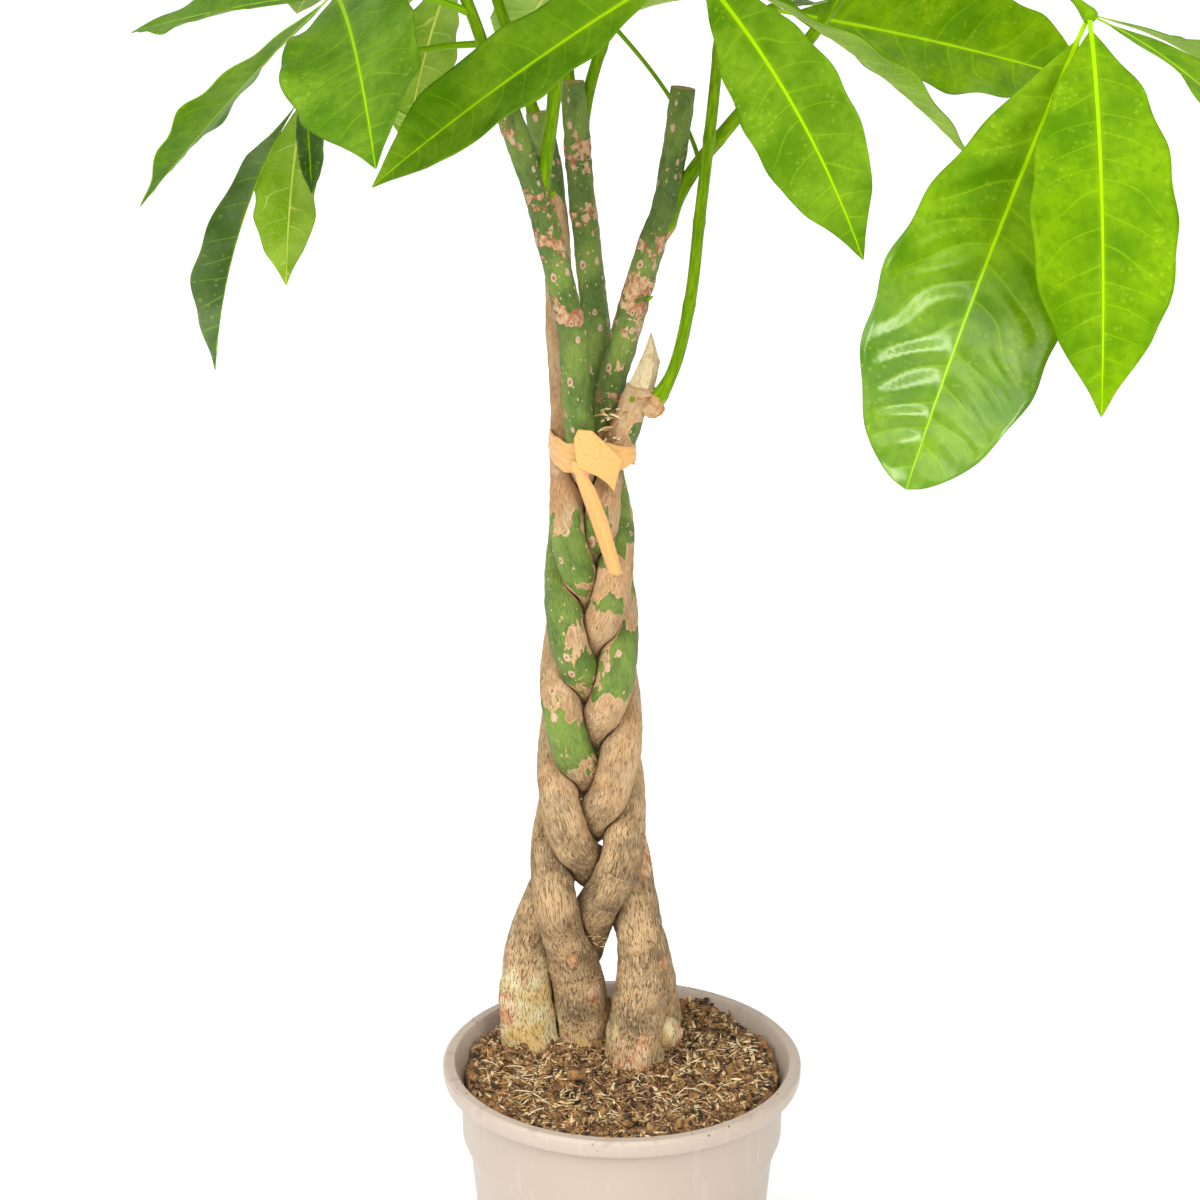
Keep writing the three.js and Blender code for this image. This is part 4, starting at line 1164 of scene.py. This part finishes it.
def plain_bark(piece, green=0.1, foot=0.2, wood=0.0, torn=0.0):
    """Marks a small lump or splinter of bark all over alike; its grain is its place."""
    places = np.array([vertex.co for vertex in piece.data.vertices])
    set_vectors(piece, "grain", places)
    marks = {"green": green, "foot": foot, "torn": torn, "cut": 0.0, "wood": wood, "old": 0.15,
             "scar": 0.0, "pinch": 0.0}
    for label, value in marks.items():
        set_values(piece, label, np.full(len(places), value))


def marked_lump(name, centre, radius, squash, seed, **marks):
    """A ball of bark pushed out of round, with its marks."""
    bpy.ops.mesh.primitive_ico_sphere_add(subdivisions=4, radius=radius * MM)
    lump = bpy.context.object
    lump.name = name
    lump.data.transform(bpy.context.object.matrix_world)
    for vertex in lump.data.vertices:
        way = vertex.co.normalized()
        push = 1 + 0.22 * noise.noise(way * 1.6 + Vector((seed, 0, 0))) + 0.07 * noise.noise(way * 5)
        place = Vector(c * s for c, s in zip(vertex.co * push, squash))
        vertex.co = place + Vector(centre) * MM
    pick_only(lump)
    bpy.ops.object.shade_smooth()
    plain_bark(lump, **marks)
    return lump


def broken_stub():
    """Pale wood snapped off to a slanting point above the bark."""
    rings = [
        (672, [(0.6, 0), (7, -5), (14, -5.2), (18.8, 1), (15, 9.5), (6, 9.5)]),
        (680, [(1.8, 0), (8.2, -5), (15, -5.1), (19.3, 1), (15.8, 8.8), (7.4, 8.6)]),
        (687, [(5.6, -1), (10.5, -4.6), (17, -4.6), (20.8, 0.5), (17, 7.5), (10, 7)]),
        (695.5, [(9.6, 0), (13, -3.4), (19, -3), (22.6, 1), (18.5, 5.5), (13.2, 5)]),
        (705, [(13.6, 0.5), (15, -1.6), (18, -1.4), (19.8, 1.5), (17.6, 3.6), (15, 3.4)]),
        (713.8, [(16.5, 1.2), (16.8, 0.9), (17.1, 0.9), (17.3, 1.3), (17, 1.6), (16.6, 1.6)]),
    ]
    places = [(x, y + 3, z) for z, ring in rings for x, y in ring]
    faces = [(r * 6 + s, r * 6 + (s + 1) % 6, (r + 1) * 6 + (s + 1) % 6, (r + 1) * 6 + s)
             for r in range(len(rings) - 1) for s in range(6)]
    faces += [tuple(range(5, -1, -1)), tuple(range(30, 36))]
    stub = new_piece("stub", places, faces)
    round_off = stub.modifiers.new("round_off", "BEVEL")
    round_off.width = 0.0006
    round_off.segments = 2
    finer = stub.modifiers.new("finer", "SUBSURF")
    finer.subdivision_type = "SIMPLE"
    finer.levels = finer.render_levels = 3
    apply_all(stub)
    for vertex in stub.data.vertices:
        grain = Vector((vertex.co.x * 900, vertex.co.y * 900, vertex.co.z * 90))
        vertex.co += vertex.normal * (0.0004 * noise.noise(grain))
    plain_bark(stub, wood=1.0)
    return stub


def trunk_pieces():
    bark = bark_material()
    for name in TRUNKS:
        parts = [trunk_piece(name)]
        if name == "trunk_broken_top":
            parts.append(broken_stub())
            parts.append(marked_lump("collar", (11, 4, 677), 9.6, (1.05, 1, 0.42), 3.0, green=0.1))
            parts.append(marked_lump("knob", (18.5, -1, 667), 6.2, (1.1, 0.9, 0.9), 5.0, green=0.12))
        if name == "trunk_right":
            parts.append(marked_lump("root_lump", (30, 3, 236), 10, (1, 0.9, 1.1), 8.0,
                                     torn=0.5, foot=0.8))
        trunk = join_all(name + "_bark", parts)
        trunk.data.materials.clear()
        trunk.data.materials.append(bark)
        settle(trunk, "bark", name)


def wood_debris():
    """Curled splinters caught in the fork above the ribbon, and root hairs in the braid."""
    def fork(number):
        return spot_in_box((-14, -9, 648), (2, 2, 668), number)
    settle(fibre_heap("fork_debris", SPLINTER_COUNT, fork, 11, 0.7), "bark")

    def gap(number):
        return spot_in_box((-20, -4, 300), (-8, 10, 306), number)
    settle(fibre_heap("braid_root_hairs", ROOT_HAIR_COUNT, gap, 10, 0.3), "bark")


# ---------------------------------------------------------------- ribbon

TIE_TOP = 646
TIE_HEIGHT = 19
TIE_FRONT = -13.6
KNOT_CENTRE = (-27, -11.5, 632)
BAND_STEPS = 144
BAND_ROWS = 14
WEAVE_ACROSS = 0.019                   # metres of thread pattern over a sheet's breadth and length
WEAVE_ALONG = 0.12


def bundle_reach(angle):
    """How far the bundle of trunks stands out towards one side at the height of the ribbon."""
    way = Vector((math.cos(angle), math.sin(angle), 0))
    reach = -1e9
    for name in TRUNKS:
        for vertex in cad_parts[name].data.vertices:
            if TIE_TOP - TIE_HEIGHT - 2 < vertex.co.z * 1000 < TIE_TOP + 3:
                reach = max(reach, vertex.co.dot(way) * 1000)
    return reach


def band_outline(offset, steps=24):
    """A band pulled tight round the bundle: its straight stretches meet at these corners."""
    step = 2 * math.pi / steps
    reaches = [bundle_reach(index * step) + offset for index in range(steps)]
    outline = []
    for index in range(steps):
        slide = (reaches[(index + 1) % steps] - reaches[index] * math.cos(step)) / math.sin(step)
        cosine, sine = math.cos(index * step), math.sin(index * step)
        outline.append((reaches[index] * cosine - slide * sine, reaches[index] * sine + slide * cosine))
    return outline


def sheet_piece(name, across, along, place_at, thickness=0.7, blush=None, closed=False):
    """A ribbon surface: place_at(u, v) gives a place for shares u along it and v across it."""
    count = across if closed else across + 1
    shares = [(i / across, j / along) for i in range(count) for j in range(along + 1)]
    faces = []
    for i in range(across):
        a, b = i * (along + 1), ((i + 1) % count) * (along + 1)
        faces.extend((a + j, b + j, b + j + 1, a + j + 1) for j in range(along))
    sheet = new_piece(name, [place_at(u, v) for u, v in shares], faces)
    set_vectors(sheet, "weave", [(0, v * WEAVE_ACROSS, u * WEAVE_ALONG) for u, v in shares])
    set_values(sheet, "blush", [blush(u, v) if blush else 0.0 for u, v in shares])
    thicken(sheet, thickness)
    return sheet


def ribbon_band():
    corners = band_outline(0.9)
    points = [Vector((x, y, 0)) for x, y in corners]
    ring = curve_through(points + [points[0]], BAND_STEPS)[:-1]

    def place(u, v):
        centre = ring[round(u * len(ring)) % len(ring)]
        middle = Vector((-19, 18, 0))
        out = (centre - middle).normalized()
        right = math.exp(-(((centre.x - 10) / 12) ** 2)) * (1 if centre.y < 10 else 0)
        low = TIE_TOP - TIE_HEIGHT + 5 * right
        high = TIE_TOP - 3.5 * right
        crease = 0.35 * math.sin(v * 19 + 2.2 * math.sin(u * 19)) + 0.25 * math.sin(v * 9 + u * 31)
        spot = centre + out * (crease - 0.5 * (2 * v - 1) ** 2)
        wander = 0.6 * math.sin(u * 25) + 0.4 * math.sin(u * 61)
        return (spot.x, spot.y, low + (high - low) * v + wander)
    return sheet_piece("band", BAND_STEPS, BAND_ROWS, place, closed=True)


def between_lines(upper, lower, u, v):
    """A point of the sheet stretched between two broken lines."""
    def on_line(line):
        place = u * (len(line) - 1)
        index = min(int(place), len(line) - 2)
        share = place - index
        return [a + (b - a) * share for a, b in zip(line[index], line[index + 1])]
    top, bottom = on_line(upper), on_line(lower)
    return [b + (t - b) * v for t, b in zip(top, bottom)]


def ribbon_flap():
    upper = [(-31, 651), (-28.5, 657), (-19.7, 656), (-10, 646.5), (-0.8, 637)]
    lower = [(-29, 632), (-24, 630), (-17, 627.5), (-11, 623), (-5.8, 616.6)]

    def place(u, v):
        x, z = between_lines(upper, lower, u, v)
        bow = 2.2 * math.sin(math.pi * u) * math.sin(math.pi * (0.2 + 0.6 * v)) - 1.5 * u
        return (x, TIE_FRONT - bow - 0.9 * math.sin(3.2 * u + 2 * v), z)
    return sheet_piece("flap", 30, 16, place)


def ribbon_tail():
    left = [(-31.5, 631), (-28, 619), (-20.5, 596), (-8.5, 560)]
    right = [(-25.5, 632), (-17.5, 618), (-9.5, 596), (-0.7, 562.5)]

    def place(u, v):
        x, z = between_lines(right, left, u, v)
        fold = 4.2 * abs(v - 0.62) * 2 * min(1, 0.3 + 1.4 * u)
        return (x, TIE_FRONT + 1.6 - 2.2 * math.sin(math.pi * min(1, u * 1.6)) + fold - 1.2, z)
    return sheet_piece("tail", 44, 10, place)


def ribbon_knot():
    """The gathered turn where the tail comes out from under the band."""
    def place(u, v):
        turn = 2 * math.pi * u
        swell = 4.6 + 0.5 * math.sin(3 * turn + 5 * v) + 0.35 * math.sin(7 * turn - 9 * v)
        length = (v - 0.5) * 11
        tight = 1 - 0.35 * (2 * v - 1) ** 2
        return (KNOT_CENTRE[0] + length, KNOT_CENTRE[1] + 0.62 * swell * tight * math.cos(turn),
                KNOT_CENTRE[2] - 1 + swell * tight * math.sin(turn) - 0.35 * length)

    def blush(u, v):
        return math.exp(-(((v - 0.8) / 0.16) ** 2) - (((u - 0.62) / 0.2) ** 2))
    return sheet_piece("knot", 36, 16, place, 0.5, blush, closed=True)


def ribbon_pieces():
    ribbon = join_all("ribbon_tie", [ribbon_band(), ribbon_flap(), ribbon_tail(), ribbon_knot()])
    face_outwards(ribbon)
    ribbon.data.materials.append(ribbon_material())
    settle(ribbon, "ribbon", "tie")


# ---------------------------------------------------------------- shoots

SHOOT_RINGS = 9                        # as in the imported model, for where the leaves grow
SHOOT_SPACES = 110
SHOOT_SIDES = 20
# Each shoot: radius at its foot and tip, number of leaves, heading of the first one in degrees, line.
SHOOTS = {
    "shoot_fork": ([4.4, 3], 4, 250, [[-52, 0, 792], [-42, -3, 861], [-30, -8, 960], [-22, -10, 1050]]),
    "shoot_left": ([4, 2.8], 4, 160, [[-74, 0, 856], [-88, -2, 900], [-110, 0, 960], [-125, 4, 1035]]),
    "shoot_right": ([4.8, 3], 4, 320, [[23, 15, 772], [38, 14, 806], [67, 12, 844], [115, 8, 898],
                                       [145, 4, 955], [155, 0, 1030]]),
    "shoot_knob": ([3.9, 3], 4, 285, [[18, -1, 667], [31, 0, 692], [40.7, 0, 735], [46.3, 0, 788],
                                      [54, -4, 864], [60, -8, 950], [62, -12, 1065]]),
    "shoot_middle": ([4.2, 2.8], 4, 80, [[-33, 38, 846], [-35, 54, 886], [-26, 70, 960],
                                         [-14, 76, 1085]]),
    "shoot_middle_right": ([4, 2.8], 4, 35, [[-28, 36, 818], [-21, 48, 860], [4, 76, 930],
                                             [42, 98, 1035]]),
    "shoot_back_left": ([4, 2.8], 4, 150, [[-52, 47, 828], [-62, 62, 862], [-85, 88, 930],
                                           [-98, 105, 1020]]),
}
SHOOT_POINTS = {name: curve_through(line, SHOOT_RINGS) for name, (_, _, _, line) in SHOOTS.items()}


def shoot_point(name, share):
    place = share * SHOOT_RINGS
    index = min(int(place), SHOOT_RINGS - 1)
    return SHOOT_POINTS[name][index].lerp(SHOOT_POINTS[name][index + 1], place - index)


def shoot_piece(name, stem):
    (bottom, top), _, _, line = SHOOTS[name]
    points = curve_through(line, SHOOT_SPACES)
    lengths = np.cumsum([0] + [(b - a).length for a, b in zip(points, points[1:])])

    def radius(index, turn):
        share = index / SHOOT_SPACES
        length = lengths[index]
        joint = 0.45 * math.exp(-(((length + 9) % 52 - 26) / 3) ** 2)
        flare = 1.6 * math.exp(-(((length - 9) / 5) ** 2))
        tip = min(1, (SHOOT_SPACES - index) / 3 + 0.25)
        return (bottom + (top - bottom) * share + joint + flare) * tip
    places, faces = tube_mesh(points, SHOOT_SIDES, radius)
    shoot = new_piece(name + "_stem", places, faces)
    turns = [2 * math.pi * side / SHOOT_SIDES for side in range(SHOOT_SIDES)]
    grains = [(0.004 * math.sin(t), 0.004 * math.cos(t), length * MM)
              for length in lengths for t in turns]
    set_vectors(shoot, "grain", grains)
    corky = np.interp(lengths, [0, 7, 14], [0.8, 0.55, 0])
    set_values(shoot, "foot", np.repeat(corky, SHOOT_SIDES))
    shoot.data.materials.append(stem)
    settle(shoot, "shoot", name)


def bud_pieces():
    """Small green buds that sit on the bark, each with two scales."""
    stem = bpy.data.materials["green_stem"]
    buds = []
    spots = [((-45, -4, 800), 2.6, 0.5), ((5, -5.5, 673), 2.0, 0.0), ((13.6, 10, 733), 2.0, 1.0)]
    for number, (centre, size, lean) in enumerate(spots):
        for side in (-1, 1):
            tip = Vector(centre) + Vector((lean * size * 2 + side * 0.8, -1.2, size * 1.5))
            line = [Vector(centre).lerp(tip, step / 5) for step in range(6)]
            shape = [0.5, 0.62, 0.6, 0.5, 0.32, 0.08]
            places, faces = tube_mesh(line, 10, lambda index, turn: size * shape[index])
            bud = new_piece(f"bud_{number}", places, faces)
            set_vectors(bud, "grain", [place * MM for place in places])
            set_values(bud, "foot", np.zeros(len(places)))
            buds.append(bud)
    joined = join_all("bark_buds", buds)
    joined.data.materials.append(stem)
    settle(joined, "shoot")


# ---------------------------------------------------------------- leaves

FOLD = math.radians(14)
WAVE = 0.11
FAN_ARC = math.radians(292)
GOLDEN_ANGLE = 137.5
LEAF_TRIES = 48
STATION_SHARES = [0, 0.05, 0.27, 0.54, 0.8, 1]
PETIOLE_RADII = [2.7, 2, 1.9, 2.3, 4.4, 3.2]
BLADE_THICKNESS = 0.7
FINE_BLADE = (110, 12)                 # spaces along it, and from the midrib to the margin
PLAIN_BLADE = (36, 5)

# The leaves that hang lowest: their shoot, the share along it, the hub and, for one, the stalk's bow.
# Each leaflet: heading, pitch and droop in degrees, length, width, and roll in degrees.
LOW_LEAVES = [
    ("shoot_knob", 0.86, (36, -90, 946), None,
     [[177, -30, 10, 224, 62, -47], [-44, -36, 27, 202, 62, 59], [23, -22, 23, 232, 50, 4],
      [54, 6, 28, 165, 50, 0], [112, 8, 28, 150, 46, 0]]),
    ("shoot_left", 0.3, (-171, -20, 923), None,
     [[-79, -2, 38, 212, 86, 34], [172, -42, 8, 180, 56, 10], [140, -8, 6, 187, 54, -23],
      [105, 2, 24, 150, 48, 0], [66, 8, 24, 105, 36, 0]]),
    ("shoot_back_left", 0.3, (-198, 50, 857), None,
     [[180, -56, 29, 190, 45, 8], [136, -72, 14, 128, 46, 8], [40, -10, 30, 110, 38, 0],
      [-80, -40, 40, 70, 26, 0]]),
    ("shoot_left", 0.42, (-106, 96, 929), None,
     [[168, -34, 26, 130, 46, 0], [118, -46, 22, 150, 52, 0], [72, -6, 24, 150, 48, 0]]),
    ("shoot_knob", 0.33, (-35, 118, 918), (52, 44, -24),
     [[104, -8, 28, 180, 56, 0], [48, 8, 20, 170, 54, 0], [-12, 8, 18, 140, 44, 0]]),
    ("shoot_right", 0.62, (92, 62, 905), None,
     [[4, -9, 8, 215, 76, -60], [62, 2, 26, 200, 62, 0], [122, 6, 22, 160, 52, 0]]),
    ("shoot_right", 0.84, (248, -170, 925), None,
     [[213, -61, 8, 273, 97, -48], [-92, -34, 46, 235, 78, 0], [-32, -20, 48, 230, 74, 0],
      [24, -12, 45, 210, 68, 0]]),
]
# Leaflets that differ, each by the number of its leaf and its place in the fan.
OLD_LEAFLETS = {(3, 0): 0.95, (3, 3): 0.85}              # dark and greyish, low on the left
TURNED_LEAFLETS = {(2, 1), (3, 0), (6, 0)}               # twisted, so that the top faces down
FOLDED_LEAFLETS = {(3, 0): 0.95, (3, 3): 0.9}            # folded up along the midrib, in radians
PLAIN_SHINE = 0.25
SHINY_LEAFLETS = {(7, 0): 0.95, (3, 0): 0.6}             # towards the tip
PLAIN_QUILT = 0.35
QUILTED_LEAFLETS = {(7, 0): 1.7, (6, 0): 1.1, (3, 0): 0.8}
BLUNT_LEAFLETS = {(7, 0)}                                # without a drawn-out tip
THIN_STALKS = {5: 0.72}                                  # by the number of the leaf
VEIN_SPACING = 16                                        # from one side vein to the next
WIDE_VEINED_LEAFLETS = {(7, 0): 21, (6, 0): 19}


def low_leaf(shoot, share, hub, bow, leaflets):
    blades = []
    for index, (azimuth, pitch, droop, length, width, roll) in enumerate(leaflets):
        angles = [math.radians(value) for value in (azimuth, pitch, droop, roll)]
        blades.append({"azimuth": angles[0], "pitch": angles[1], "droop": angles[2], "roll": angles[3],
                       "length": length, "width": width, "wave": ANY_TURN * draw(index + hub[0])})
    return {"root": shoot_point(shoot, share), "hub": Vector(hub), "bow": bow and Vector(bow),
            "leaflets": blades, "fine": True}


def fan_of(count, outward, pitch, tilt, droop, length, seed):
    blades = []
    for index in range(count):
        offset = (index / (count - 1) - 0.5) * FAN_ARC
        size = length * (1 - 0.3 * abs(offset) / math.pi) * between(0.92, 1.08, seed + index)
        blades.append({
            "azimuth": outward + offset,
            "pitch": pitch - tilt * math.cos(offset),
            "droop": droop * between(0.8, 1.25, seed + index + 0.3),
            "length": size,
            "width": size * 0.31,
            "roll": between(-0.25, 0.25, seed + index + 0.6),
            "wave": ANY_TURN * draw(seed + index + 0.9),
        })
    return blades


def high_leaf(order, name, rank, attempt):
    """A leaf further up a shoot, turned by the golden angle; each try swings it a little."""
    _, leaves, turn, _ = SHOOTS[name]
    age = rank / (leaves - 1)
    seed = 31 * order + 7 * rank
    swing = math.ceil(attempt / 2) * (9 if attempt % 2 else -9)
    outward = math.radians(turn + GOLDEN_ANGLE * rank + swing)
    lift = math.radians(24 + 40 * age + 12 * (attempt % 4))
    reach = between(125, 190, seed + 1) * (1 - 0.25 * age) * (1 if attempt % 3 else 1.2)
    root = shoot_point(name, 0.6 + 0.37 * age)
    leaflets = fan_of(5 if draw(seed + 2) < 0.5 else 6, outward, math.radians(4 + 10 * age),
                      math.radians(16), math.radians(38 - 10 * age),
                      between(175, 215, seed + 3) * (1 - 0.2 * age), seed)
    return {"root": root, "hub": root + heading(outward, lift) * reach, "bow": None,
            "leaflets": leaflets, "fine": False}


def midrib_point(root, leaflet, share):
    azimuth, pitch, droop = leaflet["azimuth"], leaflet["pitch"], leaflet["droop"]
    level = (math.sin(pitch) - math.sin(pitch - droop * share)) / droop
    climb = (math.cos(pitch - droop * share) - math.cos(pitch)) / droop
    length = leaflet["length"]
    return root + Vector((length * level * math.cos(azimuth), length * level * math.sin(azimuth),
                          length * climb))


def fits_node(leaf, corners):
    """Whether every leaflet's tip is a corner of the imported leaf."""
    for leaflet in leaf["leaflets"]:
        tip = np.array(midrib_point(leaf["hub"], leaflet, 1))
        if np.abs(corners - tip).sum(1).min() > 1.0:
            return False
    return True


def high_leaves():
    """The rule's leaves in order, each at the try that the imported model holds."""
    found = []
    for order, name in enumerate(SHOOTS):
        for rank in range(SHOOTS[name][1]):
            node = f"leaf_{len(LOW_LEAVES) + len(found) + 1:02d}"
            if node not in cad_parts:
                return found
            corners = np.array([vertex.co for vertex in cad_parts[node].data.vertices]) * 1000
            tries = (high_leaf(order, name, rank, attempt) for attempt in range(LEAF_TRIES))
            leaf = next((leaf for leaf in tries if fits_node(leaf, corners)), None)
            if leaf:
                found.append(leaf)
    return found


def blade_outline(share, blunt):
    """The half width along a leaflet; most leaflets run out into a drawn tip."""
    open_share = max((share - 0.05) / 0.95, 0)
    if blunt:
        return 3.25 * open_share ** 1.05 * (1 - open_share) ** 0.64
    drawn = float(np.interp(share, [0.76, 0.84, 0.9, 0.95, 1], [1, 0.92, 0.74, 0.58, 0.5]))
    return 3.69 * open_share ** 1.05 * (1 - open_share) ** 0.85 * drawn


def vein_count(leaflet, share, away, spacing):
    """A number that grows by one from each side vein to the next; veins curve towards the tip."""
    wave = leaflet["wave"]
    wander = 0.22 * math.sin(wave * 5 + 17 * share) + 0.1 * math.sin(wave + 47 * share)
    forward = 0.28 * away + 0.011 * away * away
    return (share * leaflet["length"] - forward) / spacing + wander + 40


def quilting(count, v):
    """The blade bulges between its side veins, most halfway out."""
    cell = (count + (SIDE_SHIFT if v > 0 else 0)) % 1
    bulge = math.sin(math.pi * abs(cell - 0.5) * 2 - math.pi / 2)
    return bulge * math.sin(math.pi * min(1, abs(v) * 1.08)) ** 0.7


def blade_piece(name, root, leaflet, fine, key):
    """One leaflet: a folded, waved sheet with a long tip, thickened into a thin blade."""
    stations, halves = FINE_BLADE if fine else PLAIN_BLADE
    azimuth, pitch, droop = leaflet["azimuth"], leaflet["pitch"], leaflet["droop"]
    fold = FOLDED_LEAFLETS.get(key, FOLD)
    tip_shine = SHINY_LEAFLETS.get(key, PLAIN_SHINE)
    quilt = QUILTED_LEAFLETS.get(key, PLAIN_QUILT)
    spacing = WIDE_VEINED_LEAFLETS.get(key, VEIN_SPACING)
    places, blade, rib, vein, shine = [], [], [], [], []
    for i in range(stations + 1):
        share = i / stations
        glossy = float(np.interp(share, [0.45, 0.68], [PLAIN_SHINE, tip_shine]))
        puffed = quilt * float(np.interp(share, [0.3, 0.7], [0.55, 1]))
        centre = midrib_point(root, leaflet, share)
        along = heading(azimuth, pitch - droop * share)
        level = Vector((-math.sin(azimuth), math.cos(azimuth), 0))
        side = Quaternion(along, leaflet["roll"]) @ level
        up = along.cross(side)
        ring = float(np.interp(share, STATION_SHARES, range(6)))
        scallop = 1 - 0.025 * (1 + math.sin(38 * share + leaflet["wave"] * 4))
        outline = blade_outline(share, key in BLUNT_LEAFLETS) * scallop
        half = max(leaflet["width"] / 2 * outline, 1.3 * (1 - share) ** 0.5, 0.12)
        opened = min(max(ring - 1, 0), 1)
        rib_half = 1.25 * (1 - share) ** 0.8 + 0.3
        for j in range(-halves, halves + 1):
            v = j / halves
            sign = (v > 0) - (v < 0)
            away = abs(v) * half
            ripple = WAVE * half * math.sin(leaflet["wave"] + 2.4 * ring * sign) * v * v
            flutter = 0.06 * half * math.sin(leaflet["wave"] * 3 + 31 * share + 2 * sign) * v ** 4
            lift = (away * math.sin(fold) * abs(v) ** 0.25 + ripple + flutter) * opened
            count = vein_count(leaflet, share, away, spacing)
            lift += puffed * quilting(count, v) * opened * min(1, 12 * (1 - share))
            places.append(centre + side * (v * half * math.cos(fold) / math.cos(FOLD)) + up * lift)
            blade.append((share * leaflet["length"] * MM, v * half * MM, abs(v)))
            rib.append(away / rib_half)
            vein.append(count)
            shine.append(glossy)
    row = 2 * halves + 1
    faces = [(i * row + j, (i + 1) * row + j, (i + 1) * row + j + 1, i * row + j + 1)
             for i in range(stations) for j in range(2 * halves)]
    low, high = (np.array(corner) * 1000 for corner in CAD_BOX)
    piece = new_piece(name, np.clip(np.array(places), low + 0.5, high - 0.5), faces)
    shift = 0.3 * draw(leaflet["wave"])
    set_vectors(piece, "blade", [(a + shift, c, s) for a, c, s in blade])
    set_values(piece, "rib", rib)
    set_values(piece, "vein", vein)
    age = OLD_LEAFLETS.get(key, 0.22 * draw(leaflet["wave"] + 0.3))
    set_values(piece, "age", np.full(len(places), age))
    set_values(piece, "shine", shine)
    piece.data.materials.append(LEAF_UNDER if key in TURNED_LEAFLETS else LEAF_TOP)
    piece.data.materials.append(LEAF_TOP if key in TURNED_LEAFLETS else LEAF_UNDER)
    thicken(piece, BLADE_THICKNESS, 1)
    return piece


def stalk_piece(name, leaf, fine, slender):
    """The long leaf stalk, which bows upwards and swells into the knob where the leaflets meet."""
    root, hub = leaf["root"], leaf["hub"]
    reach = (hub - root).length
    middle = root.lerp(hub, 0.5) + (leaf["bow"] or Vector((0, 0, 0.14 * reach)))
    spaces = 40 if fine else 22
    places_along = [step / spaces for step in range(spaces + 1)]
    line = [root.lerp(middle, t).lerp(middle.lerp(hub, t), t) for t in places_along]
    tangent = (hub - middle).normalized()
    line += [hub + tangent * 2.4, hub + tangent * 4.0, hub + tangent * 4.6]
    marks = [0, 0.33, 0.66, 1 - 9 / reach, 1, 1 + 2.4 / reach, 1 + 4.0 / reach, 1 + 4.7 / reach]
    radii = PETIOLE_RADII[:5] + [4.2, 2.6, 0.6]
    spots = places_along + marks[5:]
    sizes = [float(np.interp(spot, marks, radii)) * (slender if spot < 0.9 else 1) for spot in spots]
    places, faces = tube_mesh(line, 14, lambda index, turn: sizes[index])
    stalk = new_piece(name, places, faces)
    stalk.data.materials.append(LEAF_STALK)
    return stalk


def leaf_pieces():
    leaves = [low_leaf(*row) for row in LOW_LEAVES] + high_leaves()
    for number, leaf in enumerate(leaves, 1):
        node = f"leaf_{number:02d}"
        parts = [blade_piece(f"{node}_{index}", leaf["hub"], leaflet, leaf["fine"], (number, index))
                 for index, leaflet in enumerate(leaf["leaflets"])]
        parts.append(stalk_piece(node + "_stalk", leaf, leaf["fine"], THIN_STALKS.get(number, 1)))
        settle(join_all(node + "_fan", parts), "leaf", node)


# ---------------------------------------------------------------- making it all

SOIL = soil_material()
FIBRE = drawn_shade_material("soil_fibre", (128, 82, 40), (232, 178, 104), (255, 242, 200))
CRUMB = drawn_shade_material("soil_crumb", (20, 12, 6), (156, 108, 60), (255, 226, 166))
LEAF_TOP = leaf_top_material()
LEAF_UNDER = leaf_under_material()
LEAF_STALK = petiole_material()
STEM = shoot_material()

pot_piece()
soil_piece()
soil_clods()
soil_crumbs()
soil_fibres()
trunk_pieces()
wood_debris()
ribbon_pieces()
for shoot_name in SHOOTS:
    shoot_piece(shoot_name, STEM)
bud_pieces()
leaf_pieces()

# ---------------------------------------------------------------- floor, light and camera

SKY_STRENGTH = 0.56
SUN_STRENGTH = 2.9
SUN_WAY = (0.45, 0.8, -1.35)
LENS = 83.4
EYE = (-0.01478, -1.6893, 1.0742)
EYE_PITCH = math.radians(72.5)


def studio():
    bpy.ops.mesh.primitive_plane_add(size=60, location=(0, 0, 0))
    floor = bpy.context.object
    floor.name = "studio_floor"
    material, _, shader = new_material("white_floor")
    shader["Base Color"].default_value = (0.94, 0.94, 0.94, 1)
    shader["Roughness"].default_value = 0.9
    floor.data.materials.append(material)
    world = bpy.data.worlds.new("soft_white")
    world.use_nodes = True
    world.node_tree.nodes["Background"].inputs["Color"].default_value = (1, 1, 1, 1)
    world.node_tree.nodes["Background"].inputs["Strength"].default_value = SKY_STRENGTH
    bpy.context.scene.world = world
    bpy.context.scene.view_settings.view_transform = "Standard"
    sun = bpy.data.lights.new("wide_sky", "SUN")
    sun.energy = SUN_STRENGTH
    sun.angle = math.radians(75)
    sky = bpy.data.objects.new("wide_sky", sun)
    sky.rotation_euler = Vector(SUN_WAY).to_track_quat("-Z", "Y").to_euler()
    bpy.context.scene.collection.objects.link(sky)
    soft_light("key", (0.9, -2.2, 1.7), (0.0, 0, 0.75), 0.8, 34)
    soft_light("left", (-1.6, -1.2, 1.2), (-0.05, 0, 0.7), 0.8, 10)


def soft_light(name, place, target, size, watts):
    data = bpy.data.lights.new(name, "AREA")
    data.energy = watts
    data.size = size
    light = bpy.data.objects.new(name, data)
    light.location = place
    light.rotation_euler = (Vector(target) - Vector(place)).to_track_quat("-Z", "Y").to_euler()
    bpy.context.scene.collection.objects.link(light)


def camera():
    data = bpy.data.cameras.new("camera")
    data.lens = LENS
    data.sensor_width = 36
    data.clip_end = 100
    eye = bpy.data.objects.new("camera", data)
    eye.location = EYE
    eye.rotation_euler = (EYE_PITCH, 0, 0)
    bpy.context.scene.collection.objects.link(eye)
    bpy.context.scene.camera = eye


studio()
camera()
